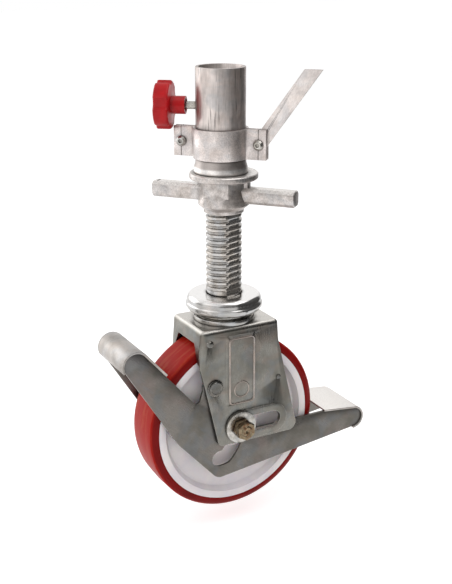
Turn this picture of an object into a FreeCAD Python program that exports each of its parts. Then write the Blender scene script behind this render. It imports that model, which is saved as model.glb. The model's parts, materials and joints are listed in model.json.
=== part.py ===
import FreeCAD, Part
import math
import os
import re
import Sketcher
from FreeCAD import Placement, Rotation, Vector

# Levelling castor of a mobile scaffold tower: a braked, load-centring castor on a
# threaded jack spindle, with its wing nut, lock knob and the foot of the leg tube.
#
# Frame: the origin is the centre of the leg tube's top face, +Z is up, +X is the
# direction in which the slotted fork lets the axle slide, and the axle lies along Y.
# The -Y side carries the two axle nuts.  Lengths are millimetres, angles degrees.

DOC = FreeCAD.newDocument("LevellingCastor")
SHEET = DOC.addObject("Spreadsheet::Sheet", "sizes")

# Driving dimensions: name, value, meaning.
SIZES = (
    ("tube_outer", 25.4, "outside radius of the leg tube"),
    ("tube_wall", 3.2, "wall of the leg tube"),
    ("tube_length", 106.0, "leg tube, cut top to lower end"),
    ("lip_height", 14.0, "flared ring on the tube's lower end"),
    ("lip_flare", 2.4, "how far the ring flares past the tube"),
    ("lip_edge", 4.5, "height of the ring's thick lower edge"),
    ("lip_top", 0.6, "wall of the ring at its top"),
    ("ear_angle", -47.0, "bearing of the collar's right ear from +X"),
    ("lip_gap", 1.0, "gap between the flared ring and the collar"),
    ("collar_height", 30.5, "height of the two collar halves"),
    ("collar_wall", 3.0, "wall of the collar round the tube"),
    ("ear_reach", 49.2, "ear's end from the tube's axis"),
    ("ear_thick", 3.0, "thickness of each ear plate"),
    ("ear_round", 3.0, "inside fillet between collar and ear"),
    ("ear_bolt_reach", 41.0, "ear bolt from the tube's axis"),
    ("brace_thick", 3.0, "flat brace bar, thickness"),
    ("brace_width", 15.0, "flat brace bar, width"),
    ("brace_angle", 54.5, "brace's rise above the horizontal"),
    ("brace_play", 0.2, "gap between brace and each ear"),
    ("clamp_bolt_r", 3.0, "collar bolt, shank radius"),
    ("clamp_head_r", 5.2, "collar bolt, head radius"),
    ("clamp_head_high", 3.3, "collar bolt, head height"),
    ("clamp_socket", 4.0, "collar bolt, hexagon socket across flats"),
    ("clamp_socket_deep", 2.0, "collar bolt, depth of the socket"),
    ("clamp_nut_flats", 10.0, "collar nut across flats"),
    ("clamp_nut_high", 5.0, "collar nut, height"),
    ("clamp_bolt_over", 1.0, "collar bolt's end past its nut"),
    ("bolt_play", 0.2, "radial play of bolts in their holes"),
    ("screw_r", 4.0, "lock screw radius"),
    ("screw_chamfer", 1.0, "chamfer of the lock screw's tip"),
    ("screw_over", 21.4, "lock screw above the collar's top"),
    ("screw_angle", 143.0, "bearing of the lock screw from +X"),
    ("running_play", 0.05, "radial play of turning and sliding fits"),
    ("tip_gap", 0.3, "lock screw's tip to the spindle's crests"),
    ("hub_start", 35.5, "knob hub's end from the tube's axis"),
    ("hub_long", 14.2, "knob hub, length"),
    ("hub_r", 9.1, "knob hub radius"),
    ("hub_recess_r", 6.6, "recess in the hub's end, radius"),
    ("hub_recess_deep", 2.0, "recess in the hub's end, depth"),
    ("knob_r", 24.4, "knob radius over the lobes"),
    ("knob_thick", 15.4, "knob thickness"),
    ("knob_lobes", 5.0, "lobes round the knob"),
    ("scallop_r", 8.0, "radius of the hollow between two lobes"),
    ("scallop_deep", 3.0, "depth of that hollow"),
    ("scallop_angle", 99.7, "bearing of the first hollow from straight down"),
    ("knob_round", 2.2, "rounding of the knob's rims"),
    ("screw_bury", 10.0, "screw length moulded into the knob"),
    ("rub_gap", 0.4, "spindle crests to the tube's bore, where it leans"),
    ("thread_r", 18.8, "spindle thread, crest radius"),
    ("root_r", 16.4, "spindle thread, root radius"),
    ("thread_pitch", 6.35, "spindle thread, four turns to 25.4"),
    ("crest_wide", 2.9, "thread crest width"),
    ("ridge_wide", 5.1, "thread ridge width at its root"),
    ("flat_depth", 15.4, "flat along the spindle, from its axis"),
    ("flat_angle", -80.0, "bearing of the flat's normal from +X"),
    ("spindle_rise", 98.0, "spindle's top above the wing nut's top"),
    ("extension", 271.0, "axle below the tube's lower end"),
    ("plain_long", 12.0, "plain neck between cap and thread"),
    ("thread_hidden", 32.0, "how far the modelled thread runs up inside the nut"),
    ("plain_r", 18.2, "plain neck radius"),
    ("weld_sink", 0.3, "how far the thread's ridge is sunk into the core"),
    ("spindle_chamfer", 2.0, "chamfer at the spindle's top"),
    ("nut_flange_r", 35.4, "wing nut flange radius"),
    ("nut_flange_thick", 6.2, "wing nut flange thickness"),
    ("nut_flange_edge", 1.0, "chamfer of the flange's rim"),
    ("nut_high", 41.0, "wing nut, overall height"),
    ("nut_flats", 46.0, "wing nut hexagon across flats"),
    ("nut_hex_high", 17.0, "height of the hexagon under the flange"),
    ("nut_waist_r", 24.6, "round body below the hexagon"),
    ("nut_waist_in", 2.0, "how far the body draws in behind the hexagon"),
    ("nut_belly_r", 26.6, "widest band of the nut"),
    ("nut_belly_high", 5.0, "height of that band"),
    ("nut_nose_r", 20.8, "nut's lower rim radius"),
    ("nut_nose_high", 3.0, "height of the lower rim"),
    ("thread_play", 0.3, "nut bore past the spindle's crests"),
    ("arm_reach", 78.0, "wing's end from the nut's axis"),
    ("arm_wide", 16.0, "wing width"),
    ("arm_high", 16.4, "wing height"),
    ("arm_edge", 4.4, "width of the flats along the wing's edges"),
    ("arm_end_edge", 1.2, "chamfer round the wing's end"),
    ("mark_long", 8.0, "slot pressed across the wing's top, length"),
    ("mark_wide", 2.0, "that slot's width"),
    ("mark_deep", 0.8, "that slot's depth"),
    ("mark_in", 4.5, "that slot in from the wing's end"),
    ("lug_reach", 27.4, "lug between wing and flange, from the nut's axis"),
    ("lug_wide", 10.0, "that lug's width"),
    ("arm_drop", 22.3, "wing's centre below the nut's top"),
    ("arm_angle", -49.0, "bearing of the wings from +X"),
    ("cap_r", 40.6, "swivel cap radius"),
    ("cap_high", 17.2, "swivel cap height"),
    ("cap_wall", 2.5, "swivel cap wall"),
    ("cap_hole_r", 19.4, "hole in the cap round the spindle"),
    ("cap_crown", 6.0, "rounding of the cap's top edge"),
    ("cap_step", 1.2, "step from the bead to the crown"),
    ("cap_bead_low", 3.6, "height of the rim's curled-in foot"),
    ("cap_bead_high", 8.6, "top of the cap's bead"),
    ("cap_curl", 2.6, "how far the foot curls in"),
    ("cap_edge", 1.75, "width of the foot's rolled edge"),
    ("head_high", 28.0, "cap's top above the fork's top"),
    ("race_r", 33.0, "lower race radius"),
    ("race_thick", 5.0, "lower race thickness"),
    ("race_wall", 5.5, "thrust ring's seat in from the race's rim"),
    ("thrust_thick", 5.0, "thrust ring thickness"),
    ("thrust_play", 2.0, "thrust ring's hole past the kingpin"),
    ("seat_depth", 2.0, "depth of the thrust ring's seat"),
    ("head_gap", 0.1, "gap between faces that turn on each other"),
    ("upper_race_r", 32.0, "upper race radius"),
    ("upper_race_thick", 5.0, "upper race thickness"),
    ("upper_hub_r", 25.0, "upper race's collar round the spindle"),
    ("kingpin_r", 10.0, "kingpin radius"),
    ("kingpin_head_r", 14.0, "kingpin's riveted head radius"),
    ("kingpin_head_high", 4.6, "riveted head height"),
    ("kingpin_head_taper", 3.0, "taper of the riveted head"),
    ("kingpin_washer_r", 17.0, "kingpin washer radius"),
    ("kingpin_washer_thick", 2.0, "kingpin washer thickness"),
    ("wheel_r", 100.0, "wheel radius"),
    ("fork_rise", 114.2, "fork's top above the axle"),
    ("fork_half", 35.0, "half of the fork's width"),
    ("fork_sheet", 3.5, "fork sheet thickness"),
    ("fork_bend", 5.0, "outside radius of the fork's bends"),
    ("fork_front_top", -44.0, "fork's front edge at its top"),
    ("fork_front_mid", -47.0, "fork's front edge where it turns"),
    ("fork_rear_top", 47.2, "fork's rear edge at its top"),
    ("fork_rear_mid", 50.2, "fork's rear edge where it turns"),
    ("fork_turn", 77.0, "height of that turn above the axle"),
    ("fork_front_low", -24.7, "fork's front corner at its foot"),
    ("fork_rear_low", 73.3, "fork's rear corner at its foot"),
    ("fork_foot", 19.3, "fork's foot below the axle"),
    ("foot_round_front", 6.0, "rounding of the foot's front corner"),
    ("foot_round_rear", 9.0, "rounding of the foot's rear corner"),
    ("front_arch_top", 98.0, "front arch's top above the axle"),
    ("front_arch_half", 18.5, "half width of the front arch's top"),
    ("rear_arch_top", 103.5, "rear arch's top above the axle"),
    ("rear_arch_half", 26.5, "half width of the rear arch's top"),
    ("arch_shoulder", 9.0, "drop from the arch's top to its shoulder"),
    ("arch_shoulder_out", 7.5, "arch's widening at the shoulder"),
    ("arch_in", 0.5, "arch's widest edge in from the leg's inside"),
    ("arch_foot_drop", 2.0, "arch's widest point below the fork's turn"),
    ("panel_left", -16.0, "raised panel, front edge"),
    ("panel_right", 18.6, "raised panel, rear edge"),
    ("panel_low", 25.8, "raised panel, lower edge"),
    ("panel_high", 105.0, "raised panel, upper edge"),
    ("panel_cut", 7.0, "raised panel's cut lower corner"),
    ("panel_raise", 2.8, "height of the raised panel"),
    ("recess_sink", 2.8, "depth of the panel's hollow behind the sheet's face"),
    ("panel_slope_angle", 48.0, "lean of the panel's sloped rim from upright"),
    ("panel_round", 3.0, "rounding of the raised panel's corners"),
    ("slot_rim_r", 17.2, "raised rim round the axle slot, radius"),
    ("slot_rim_raise", 1.2, "height of that rim"),
    ("axle_end_edge", 1.0, "chamfer of the axle bolt's end"),
    ("axle_travel", 41.0, "axle's travel along the slot"),
    ("slot_play", 0.1, "slot's play round the bush"),
    ("pivot_x", -29.1, "lever pivot from the castor's axis"),
    ("pivot_z", 49.8, "lever pivot above the axle"),
    ("pivot_r", 6.0, "lever pivot rivet, shank radius"),
    ("pivot_foot_r", 9.0, "lever pivot rivet, radius of the head's foot"),
    ("pivot_foot_high", 0.9, "lever pivot rivet, height of the head's foot"),
    ("pivot_head_r", 7.8, "lever pivot rivet, head radius"),
    ("pivot_head_high", 3.4, "lever pivot rivet, head height"),
    ("pivot_head_edge", 0.7, "lever pivot rivet, chamfer of the head"),
    ("pivot_dish_r", 5.6, "lever pivot rivet, hollow in the head, radius"),
    ("pivot_dish_deep", 0.4, "lever pivot rivet, depth of that hollow"),
    ("pivot_tail_high", 1.4, "lever pivot rivet, tail height"),
    ("pivot_tail_r", 7.5, "lever pivot rivet, tail radius"),
    ("stop_x", 48.1, "lever stop pin from the castor's axis"),
    ("stop_z", 47.4, "lever stop pin above the axle"),
    ("stop_r", 2.5, "lever stop pin radius"),
    ("stop_proud", 1.2, "lever stop pin's end outside the fork"),
    ("stop_edge", 0.6, "lever stop pin's end chamfer"),
    ("shoe_pin_x", -35.0, "shoe pin from the castor's axis"),
    ("shoe_pin_z", 99.7, "shoe pin above the axle"),
    ("shoe_pin_r", 3.0, "shoe pin radius"),
    ("shoe_pin_head_r", 4.2, "shoe pin, riveted head radius"),
    ("shoe_pin_head_high", 1.6, "shoe pin, riveted head height"),
    ("shoe_gap", 0.6, "tread to brake shoe"),
    ("shoe_thick", 8.9, "brake shoe thickness"),
    ("shoe_half", 20.0, "half of the brake shoe's width"),
    ("shoe_from_angle", 99.0, "brake shoe's rear edge, angle about the axle"),
    ("shoe_to_angle", 111.2, "brake shoe's front edge, angle about the axle"),
    ("plate_thick", 3.0, "lever plate thickness"),
    ("plate_gap", 0.3, "gap between fork leg and lever plate"),
    ("lever_angle", 45.0, "lever's turn that drives the axle home"),
    ("dwell_angle", 5.0, "turn beyond it that holds the axle home"),
    ("front_end_x", -117.0, "front pedal's round end from the axis"),
    ("front_end_z", 91.4, "front pedal's round end above the axle"),
    ("front_end_r", 13.0, "front pedal's round end radius"),
    ("rear_end_x", 151.0, "rear pedal's round end from the axis"),
    ("rear_end_z", -25.6, "rear pedal's round end above the axle"),
    ("rear_end_r", 11.5, "rear pedal's round end radius"),
    ("pivot_land_r", 13.0, "lever plate's round land at the pivot"),
    ("heel_x", -25.2, "lever plate's lowest corner, from the axis"),
    ("heel_z", -59.0, "lever plate's lowest corner, below the axle"),
    ("heel_round", 12.0, "rounding of the lowest corner"),
    ("elbow_x", -71.0, "bend in the front arm's lower edge, x"),
    ("elbow_z", -8.0, "bend in the front arm's lower edge, z"),
    ("valley_x", -47.0, "where the front arm meets the pivot land, x"),
    ("valley_z", 30.0, "where the front arm meets the pivot land, z"),
    ("valley_round", 4.0, "rounding of that corner"),
    ("shoulder_x", 17.0, "lever plate's shoulder behind the axle, x"),
    ("shoulder_z", 20.0, "lever plate's shoulder behind the axle, z"),
    ("shoulder_round", 12.0, "rounding of the shoulder"),
    ("crook_x", 21.0, "where the rear arm's top edge starts, x"),
    ("crook_z", -9.3, "rear arm's top edge, height"),
    ("crook_round", 3.0, "rounding where the rear arm's top edge starts"),
    ("elbow_round", 40.0, "rounding of the bend in the front arm"),
    ("front_top_angle", 49.0, "where the front arm's top edge leaves its round end"),
    ("front_low_angle", 29.0, "where the front arm's lower edge leaves its round end"),
    ("rear_low_angle", 7.1, "where the rear arm's lower edge leaves its round end"),
    ("rear_top_angle", 5.9, "where the rear arm's top edge leaves its round end"),
    ("land_top_angle", 35.0, "where the edge behind the pivot leaves its land"),
    ("land_low_angle", 10.0, "where the edge before the pivot leaves its land"),
    ("pedal_start_x", 111.0, "rear pedal's front edge, x"),
    ("pedal_sheet", 2.2, "pedal sheet thickness"),
    ("pedal_half", 32.8, "half of the pedals' width"),
    ("front_wrap_from_angle", 41.0, "front pedal's upper edge, angle round its end"),
    ("front_wrap_to_angle", 207.0, "front pedal's lower edge, angle round its end"),
    ("rear_wrap_from_angle", -88.0, "rear pedal's lip, angle round its end"),
    ("rear_wrap_to_angle", 85.0, "rear pedal's flat start, angle round its end"),
    ("flange_long", 35.0, "front pedal's narrow flanges along the arms"),
    ("flange_wide", 5.0, "front pedal's narrow flanges, width"),
    ("flange_lap", 0.2, "lap of those flanges with the rolled sheet"),
    ("bush_r", 9.0, "slot bush radius"),
    ("axle_r", 6.0, "axle bolt radius"),
    ("sleeve_r", 10.0, "axle sleeve radius"),
    ("sleeve_over", 0.4, "sleeve past the wheel hub at each end"),
    ("hub_washer_r", 15.0, "washer beside the wheel hub, radius"),
    ("hub_washer_thick", 1.8, "washer beside the wheel hub, thickness"),
    ("side_washer_r", 17.8, "washer outside the fork, radius"),
    ("side_washer_thick", 3.0, "washer outside the fork, thickness"),
    ("washer_gap", 0.1, "side washer to the slot's raised rim"),
    ("nut_across", 19.0, "axle nut across flats"),
    ("axle_nut_high", 6.0, "each axle nut's height"),
    ("axle_head_high", 7.5, "axle bolt's head height"),
    ("axle_end", 1.0, "axle bolt's end past the nuts"),
    ("nut_chamfer", 1.3, "chamfer of a hexagon's corners"),
    ("inner_nut_angle", 10.0, "turn of the inner axle nut"),
    ("outer_nut_angle", 34.0, "turn of the outer axle nut"),
    ("bolt_dish_r", 2.2, "hollow in the axle bolt's end, radius"),
    ("bolt_dish_deep", 1.2, "depth of that hollow"),
    ("tread_half", 20.7, "half width of the tyre's tread"),
    ("tyre_thick", 10.0, "tyre, from its tread to the core"),
    ("core_half", 24.1, "half width of the core's rim"),
    ("tyre_crown", 0.8, "tread crown, drop at its edges"),
    ("shoulder_drop", 3.4, "tyre shoulder below the tread"),
    ("shoulder_bulge", 0.6, "how full the tyre's shoulder is"),
    ("side_lean", 0.3, "lean of the tyre's side wall"),
    ("tyre_lock_deep", 4.0, "core's groove under the tyre, depth"),
    ("tyre_lock_half", 12.0, "core's groove under the tyre, half width"),
    ("lock_flare", 1.0, "widening of that groove towards the tread"),
    ("rim_thick", 8.0, "thickness of the core's rim ring"),
    ("rim_groove", 2.0, "groove behind the rim ring, depth"),
    ("web_in", 4.0, "recessed web in from the rim ring"),
    ("hub_fillet", 2.0, "slope between hub and web"),
    ("web_slope", 4.0, "slope at the web's outside"),
    ("bearing_step", 1.5, "step of the bearing seat round the sleeve"),
    ("bearing_gap", 0.4, "bearing to the bottom of its seat"),
    ("web_half", 17.0, "half thickness of the web at its rim"),
    ("web_hub_half", 20.0, "half thickness of the web at the hub"),
    ("hub_boss_r", 27.0, "wheel hub radius"),
    ("hub_half", 25.4, "half length of the wheel hub"),
    ("bearing_r", 15.0, "wheel bearing's outside radius"),
    ("bearing_long", 12.0, "wheel bearing's width"),
)

# Values worked out from the driving dimensions.
DERIVED = {
    "tube_bore": "tube_outer - tube_wall",
    "lean": "tube_bore - thread_r - rub_gap",
    "axis_x": "-lean * cos(screw_angle)",
    "axis_y": "-lean * sin(screw_angle)",
    "ear_gap_half": "brace_thick / 2 + brace_play",
    "clamp_hole_r": "clamp_bolt_r + bolt_play",
    "collar_mid": "-tube_length + lip_height + lip_gap + collar_height / 2",
    "screw_drop": "-collar_mid - collar_height / 2 - screw_over",
    "brace_rise": "-collar_mid",
    "axle_z": "-tube_length - extension",
    "fork_top": "axle_z + fork_rise",
    "cap_top": "fork_top + head_high",
    "neck_top": "cap_top + plain_long",
    "thread_top": "-tube_length - nut_high + thread_hidden",
    "spindle_top": "-tube_length + spindle_rise",
    "race_top": "fork_top + race_thick",
    "thrust_top": "race_top - seat_depth + thrust_thick",
    "upper_race_low": "thrust_top + head_gap",
    "fork_under": "fork_top - fork_sheet",
    "fork_inner": "fork_half - fork_sheet",
    "plate_outer": "fork_inner - plate_gap",
    "plate_inner": "plate_outer - plate_thick",
    "slot_r": "bush_r + slot_play",
    "core_r": "wheel_r - tyre_thick",
    "rim_r": "core_r - rim_thick",
    "web_r": "rim_r - web_in",
    "bush_end": "fork_half + slot_rim_raise + washer_gap",
    "sleeve_half": "hub_half + sleeve_over",
    "bush_start": "sleeve_half + hub_washer_thick",
    "nuts_start": "bush_end + side_washer_thick",
    "nuts_end": "nuts_start + 2 * axle_nut_high",
    "nut_bore": "thread_r + thread_play",
    "hex_corner": "nut_across / 2 / cos(30)",
}

for row, (name, value, meaning) in enumerate(SIZES, start=1):
    SHEET.set(f"A{row}", name)
    SHEET.set(f"B{row}", str(value))
    SHEET.set(f"C{row}", meaning)
    SHEET.setAlias(f"B{row}", name)
DOC.recompute()

ALIASES = {name for name, _, _ in SIZES}


def expr(text):
    """The expression text with every size's name pointed at the sheet."""
    def swap(match):
        word = match.group(0)
        if word in DERIVED:
            return "(" + expr(DERIVED[word]) + ")"
        return f"sizes.{word}" if word in ALIASES else word
    return re.sub(r"[A-Za-z_]\w*", swap, str(text))


def num(text):
    """The value of an expression, as a plain number."""
    return float(SHEET.evalExpression(expr(text)))


def bind(item, **properties):
    """Bind properties of an object to expressions of the sheet."""
    for key, text in properties.items():
        item.setExpression(key, expr(text))
    return item


def place(item, x="0", y="0", z="0", turn=None):
    """Put an object at a point worked out from the sheet, turned if need be."""
    item.Placement = Placement(Vector(num(x), num(y), num(z)), turn or Rotation())
    for letter, text in zip("xyz", (x, y, z)):
        item.setExpression(f"Placement.Base.{letter}", expr(text))
    return item


def named(item, label):
    item.Label = label
    return item


# Turns that stand parts in their places.
TO_LEG = Rotation(Vector(0, 0, 1), num("ear_angle"))
TO_NEAR = Rotation(Vector(1, 0, 0), 90)
TO_FAR = Rotation(Vector(1, 0, 0), -90)
TO_SIDE = Rotation(Vector(0, 0, 1), num("screw_angle")).multiply(Rotation(Vector(0, 1, 0), 90))


def body(label):
    return named(DOC.addObject("PartDesign::Body", label), label)


def sketch_on(owner, role, name):
    item = owner.newObject("Sketcher::SketchObject", f"{owner.Label}_{name}")
    base = next(feature for feature in owner.Origin.OriginFeatures if feature.Role == role)
    item.AttachmentSupport = (base, [""])
    item.MapMode = "FlatFace"
    return item


def polygon(owner, role, points, name="outline"):
    """A closed outline whose corners are dimensioned from the origin."""
    item = sketch_on(owner, role, name)
    values = [Vector(num(x), num(y), 0) for x, y in points]
    count = len(values)
    for index, start in enumerate(values):
        item.addGeometry(Part.LineSegment(start, values[(index + 1) % count]), False)
    for index in range(count):
        item.addConstraint(Sketcher.Constraint("Coincident", index, 2, (index + 1) % count, 1))
    for index, (texts, start) in enumerate(zip(points, values)):
        for kind, text, value in zip(("DistanceX", "DistanceY"), texts, start):
            key = item.addConstraint(Sketcher.Constraint(kind, -1, 1, index, 1, value))
            item.setExpression(f"Constraints[{key}]", expr(text))
    return item


def circles(owner, role, rings, name="rings"):
    """Circles, each given by its centre and radius."""
    item = sketch_on(owner, role, name)
    for index, (x, y, radius) in enumerate(rings):
        centre = Vector(num(x), num(y), 0)
        item.addGeometry(Part.Circle(centre, Vector(0, 0, 1), num(radius)), False)
        for kind, text, value in (("DistanceX", x, centre.x), ("DistanceY", y, centre.y)):
            key = item.addConstraint(Sketcher.Constraint(kind, -1, 1, index, 3, value))
            item.setExpression(f"Constraints[{key}]", expr(text))
        key = item.addConstraint(Sketcher.Constraint("Radius", index, num(radius)))
        item.setExpression(f"Constraints[{key}]", expr(radius))
    return item


def pad(owner, profile, length, side="One side", reverse=False, name="pad"):
    item = owner.newObject("PartDesign::Pad", f"{owner.Label}_{name}")
    item.Profile = profile
    item.SideType = side
    item.Reversed = reverse
    bind(item, Length=length)
    return item


def pocket(owner, profile, length, side="One side", reverse=False, name="pocket"):
    """A cut of the profile; it has to take something away."""
    DOC.recompute()
    before = owner.Shape.Volume
    item = owner.newObject("PartDesign::Pocket", f"{owner.Label}_{name}")
    item.Profile = profile
    item.SideType = side
    item.Reversed = reverse
    bind(item, Length=length)
    DOC.recompute()
    if not owner.Shape.Volume < before:
        raise RuntimeError(f"{item.Name} cuts nothing")
    return item


def turned(label, points, angle="360"):
    """A body turned about its own Z axis from a half section of (radius, height)."""
    owner = body(label)
    profile = polygon(owner, "XZ_Plane", points, "section")
    item = owner.newObject("PartDesign::Revolution", f"{label}_turning")
    item.Profile = profile
    item.ReferenceAxis = (profile, ["V_Axis"])
    bind(item, Angle=angle)
    return owner


def edges_where(shape, test):
    """Names of the edges whose box passes a test."""
    return [f"Edge{k}" for k, edge in enumerate(shape.Edges, start=1) if test(edge.BoundBox)]


def fillet(owner, radius, test, name="fillet", kind="PartDesign::Fillet"):
    """Round, or chamfer, the edges of a body that pass a test."""
    DOC.recompute()
    base = owner.Tip
    chosen = edges_where(base.Shape, test)
    if not chosen:
        raise RuntimeError(f"{owner.Label}: no edge for {name}")
    item = owner.newObject(kind, f"{owner.Label}_{name}")
    item.Base = (base, chosen)
    bind(item, **{"Radius" if kind.endswith("Fillet") else "Size": radius})
    return item


def near(a, b, slack=0.02):
    return abs(a - b) < slack


def across(x, z):
    """Test for an edge that runs along Y through a point of the XZ plane."""
    return lambda b: b.XLength < 0.02 and b.ZLength < 0.02 and near(b.XMin, num(x)) and near(b.ZMin, num(z))


def cylinder(label, radius, height):
    return bind(named(DOC.addObject("Part::Cylinder", label), label), Radius=radius, Height=height)


def box(label, length, width, height):
    item = named(DOC.addObject("Part::Box", label), label)
    return bind(item, Length=length, Width=width, Height=height)


def prism(label, corner, height):
    item = named(DOC.addObject("Part::Prism", label), label)
    item.Polygon = 6
    return bind(item, Circumradius=corner, Height=height)


def cut(label, base, tool):
    item = named(DOC.addObject("Part::Cut", label), label)
    item.Base, item.Tool = base, tool
    return item


def common(label, base, tool):
    item = named(DOC.addObject("Part::Common", label), label)
    item.Base, item.Tool = base, tool
    return item


def fuse(label, *items):
    item = named(DOC.addObject("Part::MultiFuse", label), label)
    item.Shapes = list(items)
    item.Refine = True
    return item


def ring(label, outer, inner, height):
    """A plain washer or sleeve standing on its own XY plane."""
    return turned(label, ((inner, "0"), (outer, "0"), (outer, height), (inner, height)))


# The leg: tube, flared ring, clamp collar and brace.

def leg_tube():
    """Round tube with the tapped hole of the lock screw on its -X side."""
    blank = ring("leg_tube_blank", "tube_outer", "tube_bore", "tube_length")
    place(blank, z="-tube_length")
    hole = cylinder("leg_tube_hole", "screw_r + running_play", "2 * tube_outer")
    place(hole, z="-screw_drop", turn=TO_SIDE)
    return cut("leg_tube", blank, hole)


def tube_lip():
    """Flared ring round the tube's lower end, which stands on the wing nut."""
    item = turned("tube_lip", (
        ("tube_outer", "0"),
        ("tube_outer + lip_flare * 0.8", "0"),
        ("tube_outer + lip_flare", "lip_edge / 3"),
        ("tube_outer + lip_flare", "lip_edge"),
        ("tube_outer + lip_top", "lip_height * 0.75"),
        ("tube_outer + lip_top", "lip_height"),
        ("tube_outer", "lip_height")))
    return place(item, z="-tube_length")


def collar_half(label, side):
    """Half of the clamp collar: a half ring with a flat ear at each end.

    side is -1 for the half on the near side and +1 for the other.
    """
    owner = body(f"{label}_bent")
    outer, inner = "(tube_outer + collar_wall)", "tube_outer"
    face = f"{side} * ear_gap_half"
    back = f"{side} * (ear_gap_half + ear_thick)"
    ears = polygon(owner, "XY_Plane", (
        ("-ear_reach", face), ("ear_reach", face), ("ear_reach", back), ("-ear_reach", back)), "ears")
    pad(owner, ears, "collar_height", name="ears_pad")
    pad(owner, circles(owner, "XY_Plane", (("0", "0", outer),), "shell"), "collar_height",
        name="shell_pad")
    pocket(owner, circles(owner, "XY_Plane", (("0", "0", inner),), "bore"), "collar_height",
           reverse=True, name="bore_cut")
    split = polygon(owner, "XY_Plane", (
        ("-1.1 * ear_reach", face), ("1.1 * ear_reach", face),
        ("1.1 * ear_reach", f"{-side} * 2 * tube_outer"),
        ("-1.1 * ear_reach", f"{-side} * 2 * tube_outer")), "split")
    pocket(owner, split, "collar_height", reverse=True, name="split_cut")
    fillet(owner, "ear_round", lambda b: b.ZLength > 1 and b.XLength < 0.1
           and near(abs(b.YMin), num("ear_gap_half + ear_thick"))
           and abs(b.XMin) < num("tube_outer + collar_wall"), "root")
    place(owner, z="collar_mid - collar_height / 2", turn=TO_LEG)
    tools = []
    for name, sign in (("left", "-1"), ("right", "1")):
        hole = cylinder(f"{label}_hole_{name}", "clamp_hole_r", "4 * ear_reach")
        reach = f"{sign} * ear_bolt_reach"
        place(hole, f"{reach} * cos(ear_angle) - 2 * ear_reach * sin(-ear_angle)",
              f"{reach} * sin(ear_angle) - 2 * ear_reach * cos(-ear_angle)", "collar_mid",
              TO_LEG.multiply(TO_FAR))
        tools.append(hole)
    return cut(label, owner, fuse(f"{label}_holes", *tools))


def brace_bar():
    """Flat bar from the right ear up to the level of the tube's cut top."""
    owner = body("brace_bar_flat")
    bar = polygon(owner, "XZ_Plane", (
        ("brace_width / 2 / sin(brace_angle)", "0"),
        ("-brace_width / 2 / sin(brace_angle)", "0"),
        ("-brace_rise / tan(brace_angle) - brace_width / 2 * sin(brace_angle)",
         "-brace_rise + brace_width / 2 * cos(brace_angle)"),
        ("-brace_rise / tan(brace_angle) + brace_width / 2 * sin(brace_angle)",
         "-brace_rise - brace_width / 2 * cos(brace_angle)")))
    pad(owner, bar, "brace_thick", "Symmetric")
    centre = ("-brace_rise / tan(brace_angle)", "-brace_rise")
    eye = circles(owner, "XZ_Plane", ((*centre, "brace_width / 2"),), "eye")
    pad(owner, eye, "brace_thick", "Symmetric", name="eye_pad")
    hole = circles(owner, "XZ_Plane", ((*centre, "clamp_hole_r"),), "hole")
    pocket(owner, hole, "brace_thick", "Symmetric", name="hole_cut")
    owner.Label = "brace_bar"
    reach = "(ear_bolt_reach + brace_rise / tan(brace_angle))"
    return place(owner, f"{reach} * cos(ear_angle)", f"{reach} * sin(ear_angle)", "0", TO_LEG)


def clamp_bolt(label, sign):
    """Button-head socket bolt through both ears, with its head on the near side."""
    shank = "2 * (ear_gap_half + ear_thick) + clamp_nut_high + clamp_bolt_over"
    blank = turned(f"{label}_blank", (
        ("0", "0"), ("clamp_bolt_r", "0"), ("clamp_bolt_r", shank), ("clamp_head_r", shank),
        ("clamp_head_r", f"{shank} + clamp_head_high * 0.4"),
        ("clamp_head_r * 0.62", f"{shank} + clamp_head_high"), ("0", f"{shank} + clamp_head_high")))
    reach = f"{sign} * ear_bolt_reach"
    back = "(ear_gap_half + ear_thick + clamp_nut_high + clamp_bolt_over)"
    turn = TO_LEG.multiply(TO_NEAR)
    place(blank, f"{reach} * cos(ear_angle) - {back} * sin(ear_angle)",
          f"{reach} * sin(ear_angle) + {back} * cos(ear_angle)", "collar_mid", turn)
    socket = prism(f"{label}_socket", "clamp_socket / 2 / cos(30)", "1.5 * clamp_socket_deep")
    front = "(ear_gap_half + ear_thick + clamp_head_high - clamp_socket_deep)"
    place(socket, f"{reach} * cos(ear_angle) + {front} * sin(ear_angle)",
          f"{reach} * sin(ear_angle) - {front} * cos(ear_angle)", "collar_mid", turn)
    return cut(label, blank, socket)


def hex_nut(label, flats, high, hole, chamfer="nut_chamfer"):
    """Hexagon nut with its corners chamfered on both faces, standing on z = 0."""
    corner = f"({flats} / 2 / cos(30))"
    block = prism(f"{label}_block", corner, high)
    trim = turned(f"{label}_trim", (
        (hole, "0"), (f"{corner} - {chamfer} * 1.2", "0"), (corner, f"{chamfer} * 0.6"),
        (corner, f"{high} - {chamfer} * 0.6"), (f"{corner} - {chamfer} * 1.2", high), (hole, high)))
    return common(label, block, trim), block, trim


def clamp_nut(label, sign):
    """Plain hexagon nut behind the far ear."""
    item, block, trim = hex_nut(label, "clamp_nut_flats", "clamp_nut_high", "clamp_bolt_r + running_play")
    reach = f"{sign} * ear_bolt_reach"
    back = "(ear_gap_half + ear_thick)"
    for piece in (block, trim):
        place(piece, f"{reach} * cos(ear_angle) - {back} * sin(ear_angle)",
              f"{reach} * sin(ear_angle) + {back} * cos(ear_angle)", "collar_mid",
              TO_LEG.multiply(TO_FAR))
    return item


# The lock knob, whose screw presses the spindle against the tube's bore.

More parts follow.
